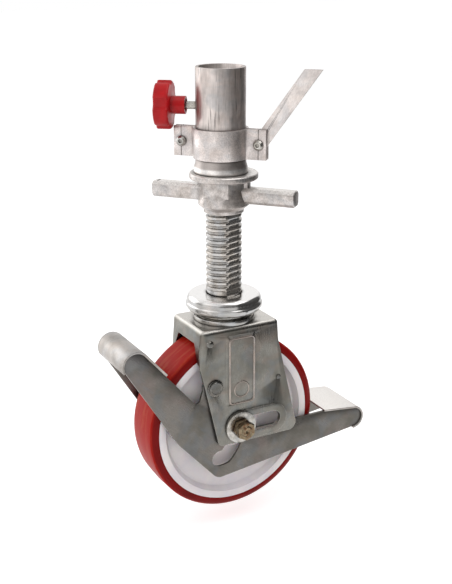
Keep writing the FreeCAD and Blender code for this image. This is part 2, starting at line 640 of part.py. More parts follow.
def lock_knob():
    """Moulded knob with scalloped rim and a round hub towards the tube."""
    owner = body("lock_knob")
    disc = circles(owner, "XY_Plane", (("0", "0", "knob_r"),), "disc")
    pad(owner, disc, "knob_thick", name="disc_pad")
    away = "(knob_r + scallop_r - scallop_deep)"
    scallop = circles(owner, "XY_Plane", (
        (f"{away} * cos(scallop_angle)", f"{away} * sin(scallop_angle)", "scallop_r"),), "scallop")
    one = pocket(owner, scallop, "knob_thick", reverse=True, name="scallop_cut")
    pattern = owner.newObject("PartDesign::PolarPattern", "lock_knob_scallops")
    pattern.Originals = [one]
    pattern.Axis = (scallop, ["N_Axis"])
    pattern.Angle = 360
    bind(pattern, Occurrences="knob_lobes")
    owner.Tip = pattern
    fillet(owner, "knob_round", lambda b: b.ZLength < 0.1, "rims")
    hub = circles(owner, "XY_Plane", (("0", "0", "hub_r"),), "hub")
    pad(owner, hub, "hub_long", reverse=True, name="hub_pad")
    bore = circles(owner, "XY_Plane", (("0", "0", "screw_r"),), "bore")
    pocket(owner, bore, "2 * hub_long", "Symmetric", name="bore_cut")
    recess = circles(owner, "XY_Plane", (("0", "0", "hub_recess_r"),), "recess")
    recess.AttachmentOffset = Placement(Vector(0, 0, -num("hub_long - hub_recess_deep")), Rotation())
    recess.setExpression("AttachmentOffset.Base.z", expr("hub_recess_deep - hub_long"))
    pocket(owner, recess, "hub_recess_deep", name="recess_cut")
    rear = "(hub_start + hub_long)"
    return place(owner, f"{rear} * cos(screw_angle)", f"{rear} * sin(screw_angle)", "-screw_drop", TO_SIDE)


def lock_screw():
    """Steel screw from the knob's hub through the tube wall to the spindle."""
    tip = "(thread_r - lean + tip_gap)"
    long = f"(hub_start + screw_bury - {tip})"
    item = turned("lock_screw", (
        ("0", "0"), ("screw_r - screw_chamfer", "0"), ("screw_r", "screw_chamfer"),
        ("screw_r", long), ("0", long)))
    return place(item, f"{tip} * cos(screw_angle)", f"{tip} * sin(screw_angle)", "-screw_drop", TO_SIDE)


# The wing nut and the spindle.

def wing_nut():
    """Flanged casting: hexagon, belly band and nose, with two eight-sided wings."""
    low = "-nut_high"
    rim = "(nut_flange_r - nut_flange_edge)"
    waist = "(nut_waist_r - nut_waist_in)"
    hub = turned("wing_nut_hub", (
        ("nut_bore", "0"), (rim, "0"), ("nut_flange_r", "-nut_flange_edge"),
        ("nut_flange_r", "nut_flange_edge - nut_flange_thick"), (rim, "-nut_flange_thick"),
        (waist, "-nut_flange_thick"), (waist, "-nut_flange_thick - nut_hex_high / 2"),
        ("nut_waist_r", "-nut_flange_thick - nut_hex_high"),
        ("nut_belly_r", f"{low} + nut_nose_high + 2 * nut_belly_high"),
        ("nut_belly_r", f"{low} + nut_nose_high + nut_belly_high"),
        ("nut_nose_r", f"{low} + nut_nose_high"), ("nut_nose_r", low), ("nut_bore", low)))
    hexagon = prism("wing_nut_hexagon", "nut_flats / 2 / cos(30)", "nut_hex_high")
    arms = body("wing_nut_arms")
    half, high, edge = "arm_wide / 2", "arm_high / 2", "arm_edge * sin(45)"
    corners = [(half, f"{high} - {edge}"), (f"{half} - {edge}", high)]
    corners += [(f"-({y})", z) for y, z in reversed(corners)]
    corners += [(y, f"-({z})") for y, z in reversed(corners)]
    pad(arms, polygon(arms, "YZ_Plane", corners, "section"), "2 * arm_reach", "Symmetric")
    fillet(arms, "arm_end_edge", lambda b: near(abs(b.XMin), num("arm_reach")) and b.XLength < 0.1, "ends",
           "PartDesign::Chamfer")
    turn = Rotation(Vector(0, 0, 1), num("arm_angle"))
    lugs = body("wing_nut_lugs")
    block = polygon(lugs, "XY_Plane", (
        ("-lug_reach", "-lug_wide / 2"), ("lug_reach", "-lug_wide / 2"),
        ("lug_reach", "lug_wide / 2"), ("-lug_reach", "lug_wide / 2")), "block")
    pad(lugs, block, "arm_drop - nut_flange_thick / 2")
    place(lugs, "axis_x", "axis_y", "-tube_length - arm_drop", turn)
    mark = box("wing_nut_mark", "mark_wide", "mark_long", "2 * mark_deep")
    inner, side = "(mark_in + mark_wide - arm_reach)", "(mark_long / 2)"
    place(mark, f"axis_x + {inner} * cos(arm_angle) - {side} * sin(arm_angle)",
          f"axis_y + {inner} * sin(arm_angle) + {side} * cos(arm_angle)",
          "-tube_length - arm_drop + arm_high / 2 - mark_deep",
          Rotation(Vector(0, 0, 1), num("arm_angle + 180")))
    place(hub, "axis_x", "axis_y", "-tube_length")
    place(hexagon, "axis_x", "axis_y", "-tube_length - nut_flange_thick - nut_hex_high",
          Rotation(Vector(0, 0, 1), num("arm_angle")))
    place(arms, "axis_x", "axis_y", "-tube_length - arm_drop", turn)
    bore = cylinder("wing_nut_bore", "nut_bore", "2 * nut_high")
    place(bore, "axis_x", "axis_y", "-tube_length - 1.5 * nut_high")
    casting = fuse("wing_nut_casting", hub, hexagon, arms, lugs)
    return cut("wing_nut", casting, fuse("wing_nut_cuts", bore, mark))


def spindle():
    """Jack spindle: rolled thread with a lengthwise flat, plain neck and kingpin.

    The thread's ridge is a trapezium carried along a right-hand helix; ridge, core
    and neck are flattened before they are joined, so that one flat crosses all three.
    """
    low, top = num("neck_top"), num("spindle_top")
    root, crest = num("root_r"), num("thread_r")
    pitch = num("thread_pitch")
    threaded_top = num("thread_top")
    core = Part.makeCylinder(root, threaded_top - low, Vector(0, 0, low))
    sunk = num("weld_sink")
    half_ridge, half_crest = num("ridge_wide") / 2, num("crest_wide") / 2
    start = low + half_ridge
    section = Part.makePolygon([
        Vector(root - sunk, 0, start - half_ridge), Vector(crest, 0, start - half_crest),
        Vector(crest, 0, start + half_crest), Vector(root - sunk, 0, start + half_ridge),
        Vector(root - sunk, 0, start - half_ridge)])
    turns = math.floor((threaded_top - low - 2 * half_ridge) / pitch)
    helix = Part.makeHelix(pitch, turns * pitch, root)
    helix.translate(Vector(0, 0, start))
    ridge = Part.Wire(helix).makePipeShell([section], True, True)
    depth = num("flat_depth")
    cap = num("cap_top")
    flat = Part.makeBox(crest, 4 * crest, 2 * (top - cap), Vector(depth, -2 * crest, cap))
    turn = Rotation(Vector(0, 0, 1), num("flat_angle"))
    flat.Placement = Placement(Vector(), turn).multiply(flat.Placement)
    threaded = core.cut(flat).fuse(ridge.cut(flat))
    chamfer = num("spindle_chamfer")
    upper = Part.makeCylinder(crest, top - threaded_top - chamfer, Vector(0, 0, threaded_top))
    tip = Part.makeCone(crest, crest - chamfer, chamfer, Vector(0, 0, top - chamfer))
    upper = upper.fuse(tip).removeSplitter().cut(flat)
    neck_low = num("upper_race_low")
    neck = Part.makeCylinder(num("plain_r"), low - neck_low, Vector(0, 0, neck_low)).cut(flat)
    pin_low = num("fork_under - head_gap - kingpin_washer_thick")
    pin = Part.makeCylinder(num("kingpin_r"), neck_low - pin_low, Vector(0, 0, pin_low))
    head_r, head_high = num("kingpin_head_r"), num("kingpin_head_high")
    head_low = Vector(0, 0, pin_low - head_high)
    head = Part.makeCone(head_r - num("kingpin_head_taper"), head_r, head_high, head_low)
    whole = threaded.fuse([upper, neck, pin, head])
    item = named(DOC.addObject("Part::Feature", "spindle"), "spindle")
    item.Shape = whole.Solids[0] if len(whole.Solids) == 1 else whole
    item.Placement = Placement(Vector(num("axis_x"), num("axis_y"), 0), Rotation())
    return item


# The swivel head.

def swivel_cap():
    """Pressed cap over the races, with a rolled bead round its rim."""
    shell = "cap_wall"
    owner = turned("swivel_cap", (
        ("cap_r - cap_curl", "0"), ("cap_r", "cap_bead_low"), ("cap_r", "cap_bead_high - cap_step"),
        ("cap_r - cap_step", "cap_bead_high"), ("cap_r - cap_step", "cap_high"),
        ("cap_hole_r", "cap_high"), ("cap_hole_r", f"cap_high - {shell}"),
        (f"cap_r - cap_step - {shell}", f"cap_high - {shell}"),
        (f"cap_r - cap_step - {shell}", "cap_bead_high"),
        (f"cap_r - {shell}", "cap_bead_high - cap_step"), (f"cap_r - {shell}", "cap_bead_low"),
        (f"cap_r - cap_curl - cap_edge", "0")))
    fillet(owner, "cap_crown", lambda b: near(b.ZMin, num("cap_high"))
           and near(b.XMax, num("cap_r - cap_step")), "crown")
    fillet(owner, "cap_crown - cap_wall", lambda b: near(b.ZMax, num("cap_high - cap_wall"))
           and near(b.ZMin, b.ZMax) and near(b.XMax, num("cap_r - cap_step - cap_wall")), "inside")
    return place(owner, "axis_x", "axis_y", "cap_top - cap_high")


def upper_race():
    """Race fixed on the spindle's neck, under the cap."""
    high = "(cap_top - cap_wall - upper_race_low)"
    item = turned("upper_race", (
        ("plain_r", "0"), ("upper_race_r", "0"), ("upper_race_r", "upper_race_thick"),
        ("upper_hub_r", "upper_race_thick"), ("upper_hub_r", high), ("plain_r", high)))
    return place(item, "axis_x", "axis_y", "upper_race_low")


def lower_race():
    """Race seated on the fork, with a raised rim round the thrust ring."""
    item = turned("lower_race", (
        ("kingpin_r + running_play", "0"), ("race_r", "0"), ("race_r", "race_thick"),
        ("race_r - race_wall", "race_thick"), ("race_r - race_wall", "race_thick - seat_depth"),
        ("kingpin_r + running_play", "race_thick - seat_depth")))
    return place(item, "axis_x", "axis_y", "fork_top")


def thrust_ring():
    item = ring("thrust_ring", "race_r - race_wall", "kingpin_r + thrust_play", "thrust_thick")
    return place(item, "axis_x", "axis_y", "race_top - seat_depth")


def kingpin_washer():
    item = ring("kingpin_washer", "kingpin_washer_r", "kingpin_r", "kingpin_washer_thick")
    return place(item, "axis_x", "axis_y", "fork_under - head_gap - kingpin_washer_thick")


# The fork and what is fixed to it.

def fork():
    """Pressed fork: bent from one sheet, with arched ends, a raised panel and a
    raised rim round the axle slot on each leg.  Its own origin is the axle's centre."""
    owner = body("fork")
    side = polygon(owner, "XZ_Plane", (
        ("fork_front_top", "fork_rise"), ("fork_front_mid", "fork_turn"),
        ("fork_front_low", "-fork_foot"), ("fork_rear_low", "-fork_foot"),
        ("fork_rear_mid", "fork_turn"), ("fork_rear_top", "fork_rise")), "side")
    pad(owner, side, "2 * fork_half", "Symmetric", name="block")
    half, top, turn = num("fork_half"), num("fork_rise"), num("fork_turn")
    fillet(owner, "foot_round_front", lambda b: near(b.ZMin, -num("fork_foot")) and b.YLength > half
           and near(b.XMin, num("fork_front_low")), "foot_front")
    fillet(owner, "foot_round_rear", lambda b: near(b.ZMin, -num("fork_foot")) and b.YLength > half
           and near(b.XMin, num("fork_rear_low")), "foot_rear")
    fillet(owner, "fork_bend", lambda b: b.ZMin > turn - 0.1 and b.ZMax > top - 0.1, "bends")
    inside = polygon(owner, "XZ_Plane", (
        ("fork_front_top + fork_sheet", "fork_rise - fork_sheet"),
        ("fork_front_mid + fork_sheet", "fork_turn"), ("2 * fork_front_mid", "fork_turn"),
        ("2 * fork_front_mid", "-2 * fork_foot"), ("2 * fork_rear_low", "-2 * fork_foot"),
        ("2 * fork_rear_low", "fork_turn"), ("fork_rear_mid - fork_sheet", "fork_turn"),
        ("fork_rear_top - fork_sheet", "fork_rise - fork_sheet")), "inside")
    pocket(owner, inside, "2 * fork_inner", "Symmetric", name="inside_cut")
    for name, high, wide, reverse in (("front", "front_arch_top", "front_arch_half", False),
                                      ("rear", "rear_arch_top", "rear_arch_half", True)):
        arch = polygon(owner, "YZ_Plane", (
            ("-fork_inner", "fork_foot"), ("fork_inner", "fork_foot"),
            ("fork_inner", "fork_turn - arch_foot_drop"),
            (f"min({wide} + arch_shoulder_out; fork_inner - arch_in)", f"{high} - 1.8 * arch_shoulder"),
            (f"{wide} + arch_shoulder_out / 3", f"{high} - arch_shoulder / 2"),
            (wide, high), (f"-({wide})", high),
            (f"-({wide} + arch_shoulder_out / 3)", f"{high} - arch_shoulder / 2"),
            (f"-min({wide} + arch_shoulder_out; fork_inner - arch_in)", f"{high} - 1.8 * arch_shoulder"),
            ("-fork_inner", "fork_turn - arch_foot_drop")), f"{name}_arch")
        pocket(owner, arch, "2 * fork_rise", reverse=reverse, name=f"{name}_arch_cut")
    owner.Label = "fork_shell"
    place(owner, "axis_x", "axis_y", "axle_z")
    added, removed = [], []
    for name, sign, face in (("near", "-1", TO_NEAR), ("far", "1", TO_FAR)):
        flip = "1" if name == "near" else "-1"
        added.append(raised_panel(f"fork_panel_{name}", "panel_raise", "0", face, sign, flip))
        added.append(obround(f"fork_rim_{name}", "slot_rim_r", "slot_rim_raise", face, sign, flip))
        removed.append(raised_panel(f"fork_recess_{name}", "panel_raise", "recess_sink",
                                    face, sign, flip))
    slot = obround("fork_slot", "slot_r", "4 * fork_half", TO_NEAR, "2", "1")
    removed.append(slot)
    for pin in ("pivot", "stop", "shoe_pin"):
        hole = cylinder(f"fork_{pin}_hole", f"{pin}_r", "4 * fork_half")
        removed.append(place(hole, f"axis_x + {pin}_x", "axis_y + 2 * fork_half",
                             f"axle_z + {pin}_z", TO_NEAR))
    kingpin = cylinder("fork_kingpin_hole", "kingpin_r + running_play", "3 * fork_sheet")
    removed.append(place(kingpin, "axis_x", "axis_y", "fork_top - 2 * fork_sheet"))
    solid = fuse("fork_pressed", owner, *added)
    return cut("fork", solid, fuse("fork_cuts", *removed))


def raised_panel(label, raise_by, inset, face, sign, flip):
    """Sloped block of the raised panel, or of the hollow behind it."""
    owner = body(label)
    left, right = f"{flip} * (panel_left + {inset})", f"{flip} * (panel_right - {inset})"
    low, high = f"panel_low + {inset}", f"panel_high - {inset}"
    base = polygon(owner, "XY_Plane", (
        (left, low), (f"{flip} * (panel_right - panel_cut)", low), (right, f"{low} + panel_cut"),
        (right, high), (left, high)), "base")
    item = pad(owner, base, raise_by)
    bind(item, TaperAngle="-panel_slope_angle")
    fillet(owner, "panel_round", lambda b: b.ZLength > num(raise_by) / 2, "corners")
    start = "fork_half" if inset == "0" else "fork_inner"
    return place(owner, "axis_x", f"axis_y + {sign} * {start}", "axle_z", leg_face(face, flip))


def leg_face(face, flip):
    """Turn that lays a sketch on a fork leg, seen from outside with up kept up."""
    return face if flip == "1" else face.multiply(Rotation(Vector(0, 0, 1), 180))


def obround(label, radius, depth, face, sign, flip):
    """Obround block round the axle slot: two round ends and a straight middle."""
    owner = body(label)
    middle = polygon(owner, "XY_Plane", (
        ("0", f"-{radius}"), (f"{flip} * axle_travel", f"-{radius}"),
        (f"{flip} * axle_travel", radius), ("0", radius)), "middle")
    pad(owner, middle, depth, name="middle_pad")
    for name, x in (("home", "0"), ("out", f"{flip} * axle_travel")):
        pad(owner, circles(owner, "XY_Plane", ((x, "0", radius),), name), depth, name=f"{name}_pad")
    return place(owner, "axis_x", f"axis_y + {sign} * fork_half", "axle_z", leg_face(face, flip))


def pivot_rivet(label, sign):
    """Rivet through one fork leg and its lever plate, with a stepped, dished head."""
    tail = "pivot_tail_high"
    face = f"({tail} + fork_half - plate_inner + plate_gap / 2)"
    foot, top = f"({face} + pivot_foot_high)", f"({face} + pivot_head_high)"
    item = turned(label, (
        ("0", "0"), ("pivot_tail_r", "0"), ("pivot_tail_r", tail), ("pivot_r", tail), ("pivot_r", face),
        ("pivot_foot_r", face), ("pivot_foot_r", foot), ("pivot_head_r", foot),
        ("pivot_head_r", f"{top} - pivot_head_edge"), ("pivot_head_r - pivot_head_edge", top),
        ("pivot_dish_r + pivot_dish_deep", top), ("pivot_dish_r", f"{top} - pivot_dish_deep"),
        ("0", f"{top} - pivot_dish_deep")))
    start = f"(plate_inner - plate_gap / 2 - {tail})"
    turn = TO_NEAR if sign == "-1" else TO_FAR
    return place(item, "axis_x + pivot_x", f"axis_y + {sign} * {start}", "axle_z + pivot_z", turn)


def stop_pin(label, sign):
    """Short pin in a fork leg, across the lever plate's path."""
    item = turned(label, (
        ("0", "0"), ("stop_r", "0"), ("stop_r", "fork_half - plate_inner + stop_proud - stop_edge"),
        ("stop_r - stop_edge", "fork_half - plate_inner + stop_proud"),
        ("0", "fork_half - plate_inner + stop_proud")))
    turn = TO_NEAR if sign == "-1" else TO_FAR
    return place(item, "axis_x + stop_x", f"axis_y + {sign} * plate_inner", "axle_z + stop_z", turn)


def shoe_pin():
    """Cross pin of the brake shoe, riveted outside both legs."""
    half = "fork_half"
    item = turned("shoe_pin", (
        ("0", f"-{half} - shoe_pin_head_high"), ("shoe_pin_head_r * 0.7", f"-{half} - shoe_pin_head_high"),
        ("shoe_pin_head_r", f"-{half}"), ("shoe_pin_r", f"-{half}"), ("shoe_pin_r", half),
        ("shoe_pin_head_r", half), ("shoe_pin_head_r * 0.7", f"{half} + shoe_pin_head_high"),
        ("0", f"{half} + shoe_pin_head_high")))
    return place(item, "axis_x + shoe_pin_x", "axis_y", "axle_z + shoe_pin_z", TO_NEAR)


def brake_shoe():
    """Block curved to the tread, hung on its pin under the fork's crown."""
    inner = "(wheel_r + shoe_gap)"
    blank = turned("brake_shoe_blank", (
        (inner, "-shoe_half"), (f"{inner} + shoe_thick", "-shoe_half"),
        (f"{inner} + shoe_thick", "shoe_half"), (inner, "shoe_half")), "shoe_to_angle - shoe_from_angle")
    spin = Rotation(Vector(0, 1, 0), -num("shoe_from_angle")).multiply(TO_NEAR)
    place(blank, "axis_x", "axis_y", "axle_z", spin)
    hole = cylinder("brake_shoe_hole", "shoe_pin_r", "4 * shoe_half")
    place(hole, "axis_x + shoe_pin_x", "axis_y + 2 * shoe_half", "axle_z + shoe_pin_z", TO_NEAR)
    return cut("brake_shoe", blank, hole)


# The brake lever: two plates, each with a cam slot, joined by two pedals.

def cam_point(turn_by):
    """Axle's place in the lever's rest frame once the lever has turned.

    Over lever_angle the axle travels evenly along the fork's slot; beyond that, over
    dwell_angle, it stays at the slot's end.  Turning the place back about the pivot
    gives the point of the cam slot's centre line.
    """
    share = max(0.0, min(turn_by / num("lever_angle"), 1.0))
    pivot = Vector(num("pivot_x"), num("pivot_z"), 0)
    axle = Vector(share * num("axle_travel"), 0, 0)
    return pivot + Rotation(Vector(0, 0, 1), -turn_by).multVec(axle - pivot)


def cam_wall(angles, offset):
    """Points of a cam slot's side, set off the centre line by a distance."""
    points = []
    for turn_by in angles:
        ahead = cam_point(turn_by + 0.01) - cam_point(turn_by - 0.01)
        points.append(cam_point(turn_by) + Vector(-ahead.y, ahead.x, 0).normalize() * offset)
    return points


def round_end(start, centre, away, end, radius):
    """Arc round one end of a slot."""
    return Part.Arc(start, centre + (centre - away).normalize() * radius, end).toShape()


def slot_solid(points_a, points_b, start, after_start, end, before_end, radius, depth):
    """Solid of a curved slot with two splined sides and two round ends."""
    side_a, side_b = Part.BSplineCurve(), Part.BSplineCurve()
    side_a.interpolate(points_a)
    side_b.interpolate(points_b)
    edges = [side_a.toShape(), round_end(points_a[-1], end, before_end, points_b[-1], radius),
             side_b.toShape(), round_end(points_b[0], start, after_start, points_a[0], radius)]
    return Part.Face(Part.Wire(Part.__sortEdges__(edges))).extrude(Vector(0, 0, depth))


def cam_cutter(label, depth):
    """Solid of the cam slot: the driving part, then the part that holds the axle home."""
    turn, dwell = num("lever_angle"), num("dwell_angle")
    radius = num("bush_r + 2 * slot_play")
    drive = [turn * step / 9 for step in range(10)]
    drive[0], drive[-1] = 0.02, turn - 0.02
    hold = [turn + 0.02, turn + dwell / 2, turn + dwell]
    parts = []
    for angles in (drive, hold):
        first, last = angles[0], angles[-1]
        parts.append(slot_solid(
            cam_wall(angles, -radius), cam_wall(angles, radius), cam_point(first), cam_point(first + 0.5),
            cam_point(last), cam_point(last - 0.5), radius, depth))
    item = named(DOC.addObject("Part::Feature", label), label)
    item.Shape = parts[0].fuse(parts[1])
    return item


def lever_plate(label, sign):
    """Bent-elbow plate between fork leg and wheel, with the cam slot and pivot hole."""
    owner = body(f"{label}_blank")
    outline = polygon(owner, "XZ_Plane", (
        ("front_end_x + front_end_r * sin(front_top_angle)",
         "front_end_z + front_end_r * cos(front_top_angle)"),
        ("front_end_x - front_end_r * cos(front_low_angle)",
         "front_end_z - front_end_r * sin(front_low_angle)"),
        ("elbow_x", "elbow_z"), ("heel_x", "heel_z"),
        ("rear_end_x + rear_end_r * sin(rear_low_angle)", "rear_end_z - rear_end_r * cos(rear_low_angle)"),
        ("rear_end_x + rear_end_r * sin(rear_top_angle)", "rear_end_z + rear_end_r * cos(rear_top_angle)"),
        ("pedal_start_x", "crook_z"), ("crook_x", "crook_z"), ("shoulder_x", "shoulder_z"),
        ("pivot_x + pivot_land_r * cos(land_top_angle)", "pivot_z + pivot_land_r * sin(land_top_angle)"),
        ("pivot_x - pivot_land_r * cos(land_low_angle)", "pivot_z - pivot_land_r * sin(land_low_angle)"),
        ("valley_x", "valley_z")), "outline")
    pad(owner, outline, "plate_thick", "Symmetric")
    for name, x, z, radius in (("front_end", "front_end_x", "front_end_z", "front_end_r"),
                               ("rear_end", "rear_end_x", "rear_end_z", "rear_end_r"),
                               ("land", "pivot_x", "pivot_z", "pivot_land_r")):
        pad(owner, circles(owner, "XZ_Plane", ((x, z, radius),), name), "plate_thick", "Symmetric",
            name=f"{name}_pad")
    hole = circles(owner, "XZ_Plane", (("pivot_x", "pivot_z", "pivot_r + running_play"),), "pivot")
    pocket(owner, hole, "plate_thick", "Symmetric", name="pivot_cut")
    fillet(owner, "heel_round", across("heel_x", "heel_z"), "heel")
    for name in ("valley", "shoulder", "crook", "elbow"):
        fillet(owner, f"{name}_round", across(f"{name}_x", f"{name}_z"), name)
    middle = f"axis_y + {sign} * (plate_inner + plate_thick / 2)"
    place(owner, "axis_x", middle, "axle_z")
    cutter = cam_cutter(f"{label}_cam", num("2 * plate_thick"))
    corner = Vector(num("axis_x"), num(f"{middle} + plate_thick"), num("axle_z"))
    cutter.Placement = Placement(corner, TO_NEAR)
    return cut(label, owner, cutter)


def wrap(label, x, z, radius, start, end, half):
    """Sheet wrapped round a lever end, between two angles seen from the near side."""
    item = turned(label, (
        (radius, f"-({half})"), (f"{radius} + pedal_sheet", f"-({half})"),
        (f"{radius} + pedal_sheet", half), (radius, half)), f"{end} - ({start})")
    spin = Rotation(Vector(0, 1, 0), -num(start)).multiply(TO_NEAR)
    return place(item, f"axis_x + {x}", "axis_y", f"axle_z + {z}", spin)


def front_pedal():
    """Sheet round the front ends, with a narrow flange down each arm."""
    bend = wrap("front_pedal_bend", "front_end_x", "front_end_z", "front_end_r", "front_wrap_from_angle",
                "front_wrap_to_angle", "pedal_half")
    pieces = [bend]
    angle = num("front_wrap_from_angle")
    for name, low in (("near", "-pedal_half"), ("far", "pedal_half - flange_wide")):
        strip = box(f"front_pedal_flange_{name}", "flange_long + flange_lap", "flange_wide", "pedal_sheet")
        pieces.append(place(
            strip,
            "axis_x + front_end_x + front_end_r * cos(front_wrap_from_angle)"
            " - flange_lap * sin(front_wrap_from_angle)",
            f"axis_y + {low}",
            "axle_z + front_end_z + front_end_r * sin(front_wrap_from_angle)"
            " + flange_lap * cos(front_wrap_from_angle)",
            Rotation(Vector(0, 1, 0), 90 - angle)))
    return fuse("front_pedal", *pieces)


def rear_pedal():
    """Flat tread on the rear arms, rolled down round their ends to a short lip."""
    bend = wrap("rear_pedal_bend", "rear_end_x", "rear_end_z", "rear_end_r", "rear_wrap_from_angle",
                "rear_wrap_to_angle", "pedal_half")
    start_x = "rear_end_x + rear_end_r * cos(rear_wrap_to_angle)"
    start_z = "rear_end_z + rear_end_r * sin(rear_wrap_to_angle)"
    owner = body("rear_pedal_flat")
    slab = polygon(owner, "XZ_Plane", (
        (start_x, start_z), ("rear_end_x + (rear_end_r + pedal_sheet) * cos(rear_wrap_to_angle)",
                             "rear_end_z + (rear_end_r + pedal_sheet) * sin(rear_wrap_to_angle)"),
        ("pedal_start_x", "crook_z + pedal_sheet"), ("pedal_start_x", "crook_z")), "slab")
    pad(owner, slab, "2 * pedal_half", "Symmetric")
    place(owner, "axis_x", "axis_y", "axle_z")
    return fuse("rear_pedal", bend, owner)


# The axle and all that slides with it.

def axle_bolt():
    """Hexagon-head bolt from the far side to the two nuts."""
    far = "(nuts_start + axle_head_high)"
    shank = turned("axle_bolt_shank", (
        ("0", "-nuts_start"), ("axle_r", "-nuts_start"), ("axle_r", "nuts_end + axle_end - axle_end_edge"),
        ("axle_r - axle_end_edge", "nuts_end + axle_end"), ("bolt_dish_r", "nuts_end + axle_end"),
        ("0", "nuts_end + axle_end - bolt_dish_deep")))
    head = prism("axle_bolt_head", "hex_corner", "axle_head_high")
    place(shank, "axis_x", "axis_y", "axle_z", TO_NEAR)
    place(head, "axis_x", f"axis_y + {far}", "axle_z", TO_NEAR)
    return fuse("axle_bolt", shank, head)


def axle_ring(label, outer, inner, start, thick, sign):
    """Washer or bush on the axle, on one side of the wheel."""
    item = ring(label, outer, inner, thick)
    turn = TO_NEAR if sign == "-1" else TO_FAR
    return place(item, "axis_x", f"axis_y + {sign} * ({start})", "axle_z", turn)


def axle_nut(label, start, twist):
    item, block, trim = hex_nut(label, "nut_across", "axle_nut_high", "axle_r")
    for piece in (block, trim):
        place(piece, "axis_x", f"axis_y - ({start})", "axle_z",
              TO_NEAR.multiply(Rotation(Vector(0, 0, 1), num(twist))))
    return item


def axle_sleeve():
    item = ring("axle_sleeve", "sleeve_r", "axle_r", "2 * sleeve_half")
    return place(item, "axis_x", "axis_y + sleeve_half", "axle_z", TO_NEAR)


# The wheel.

def tyre():
    """Tyre band moulded on the core, with rounded shoulders and a locking rib."""
    half = (
        ("core_r - tyre_lock_deep", "tyre_lock_half"), ("core_r", "tyre_lock_half + lock_flare"),
        ("core_r", "core_half"), ("core_r + shoulder_drop", "core_half - side_lean"),
        ("wheel_r - shoulder_drop", "(core_half + tread_half) / 2 + shoulder_bulge"),
        ("wheel_r - tyre_crown", "tread_half"))
    other = tuple((r, f"-({z})") for r, z in reversed(half))
    item = turned("tyre", half + (("wheel_r", "0"),) + other)
    return place(item, "axis_x", "axis_y", "axle_z", TO_NEAR)


def wheel_core():
    """Moulded core: rim ring, groove, dished web and long hub with bearing seats."""
    seat = "hub_half - bearing_long - bearing_gap"
    upper = (
        ("sleeve_r + bearing_step", seat), ("bearing_r", seat),
        ("bearing_r", "hub_half"), ("hub_boss_r", "hub_half"), ("hub_boss_r + hub_fillet", "web_hub_half"),
        ("web_r - web_slope", "web_half"), ("web_r", "web_half"), ("rim_r", "core_half - rim_groove"),
        ("rim_r", "core_half"), ("core_r", "core_half"), ("core_r", "tyre_lock_half + lock_flare"),
        ("core_r - tyre_lock_deep", "tyre_lock_half"))
    points = list(upper) + [(r, f"-({z})") for r, z in reversed(upper)]
    item = turned("wheel_core", tuple(points))
    return place(item, "axis_x", "axis_y", "axle_z", TO_NEAR)


def wheel_bearing(label, sign):
    item = ring(label, "bearing_r", "sleeve_r + running_play", "bearing_long")
    turn = TO_NEAR if sign == "-1" else TO_FAR
    return place(item, "axis_x", f"axis_y + {sign} * (hub_half - bearing_long)", "axle_z", turn)


PIECES = [
    leg_tube(), tube_lip(), collar_half("collar_front", -1), collar_half("collar_rear", 1), brace_bar(),
    clamp_bolt("collar_bolt_left", "-1"), clamp_bolt("collar_bolt_right", "1"),
    clamp_nut("collar_nut_left", "-1"), clamp_nut("collar_nut_right", "1"),
    lock_knob(), lock_screw(), wing_nut(), spindle(), swivel_cap(), upper_race(), kingpin_washer(),
    lower_race(), thrust_ring(), fork(), shoe_pin(), brake_shoe(),
    pivot_rivet("pivot_rivet_near", "-1"), pivot_rivet("pivot_rivet_far", "1"),
    stop_pin("stop_pin_near", "-1"), stop_pin("stop_pin_far", "1"),
    lever_plate("lever_plate_near", "-1"), lever_plate("lever_plate_far", "1"), front_pedal(), rear_pedal(),
    axle_bolt(), axle_nut("axle_nut_inner", "nuts_start", "inner_nut_angle"),
    axle_nut("axle_nut_outer", "nuts_start + axle_nut_high", "outer_nut_angle"),
    axle_sleeve(),
    axle_ring("hub_washer_near", "hub_washer_r", "axle_r", "sleeve_half", "hub_washer_thick", "-1"),
    axle_ring("hub_washer_far", "hub_washer_r", "axle_r", "sleeve_half", "hub_washer_thick", "1"),
    axle_ring("slot_bush_near", "bush_r", "axle_r", "bush_start", "bush_end - bush_start", "-1"),
    axle_ring("slot_bush_far", "bush_r", "axle_r", "bush_start", "bush_end - bush_start", "1"),
    axle_ring("side_washer_near", "side_washer_r", "axle_r", "bush_end", "side_washer_thick", "-1"),
    axle_ring("side_washer_far", "side_washer_r", "axle_r", "bush_end", "side_washer_thick", "1"),
    tyre(), wheel_core(),
    wheel_bearing("wheel_bearing_near", "-1"), wheel_bearing("wheel_bearing_far", "1"),
]

DOC.recompute()
faults = [item.Label for item in DOC.Objects if {"Invalid", "Error"} & set(item.State)]
faults += [item.Label for item in PIECES if item.Shape.isNull() or not item.Shape.isValid()]
if faults:
    raise RuntimeError("failed objects: " + ", ".join(faults))

os.makedirs("parts", exist_ok=True)
for item in PIECES:
    item.Shape.exportStep(f"parts/{item.Label}.step")
    print(item.Label, len(item.Shape.Solids), round(item.Shape.Volume, 1))
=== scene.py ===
"""Looks of a braked levelling castor: finishes, small added pieces, studio and camera."""

from __future__ import annotations

import json
import logging
import math
from dataclasses import dataclass
from enum import Enum
from typing import Any, ClassVar

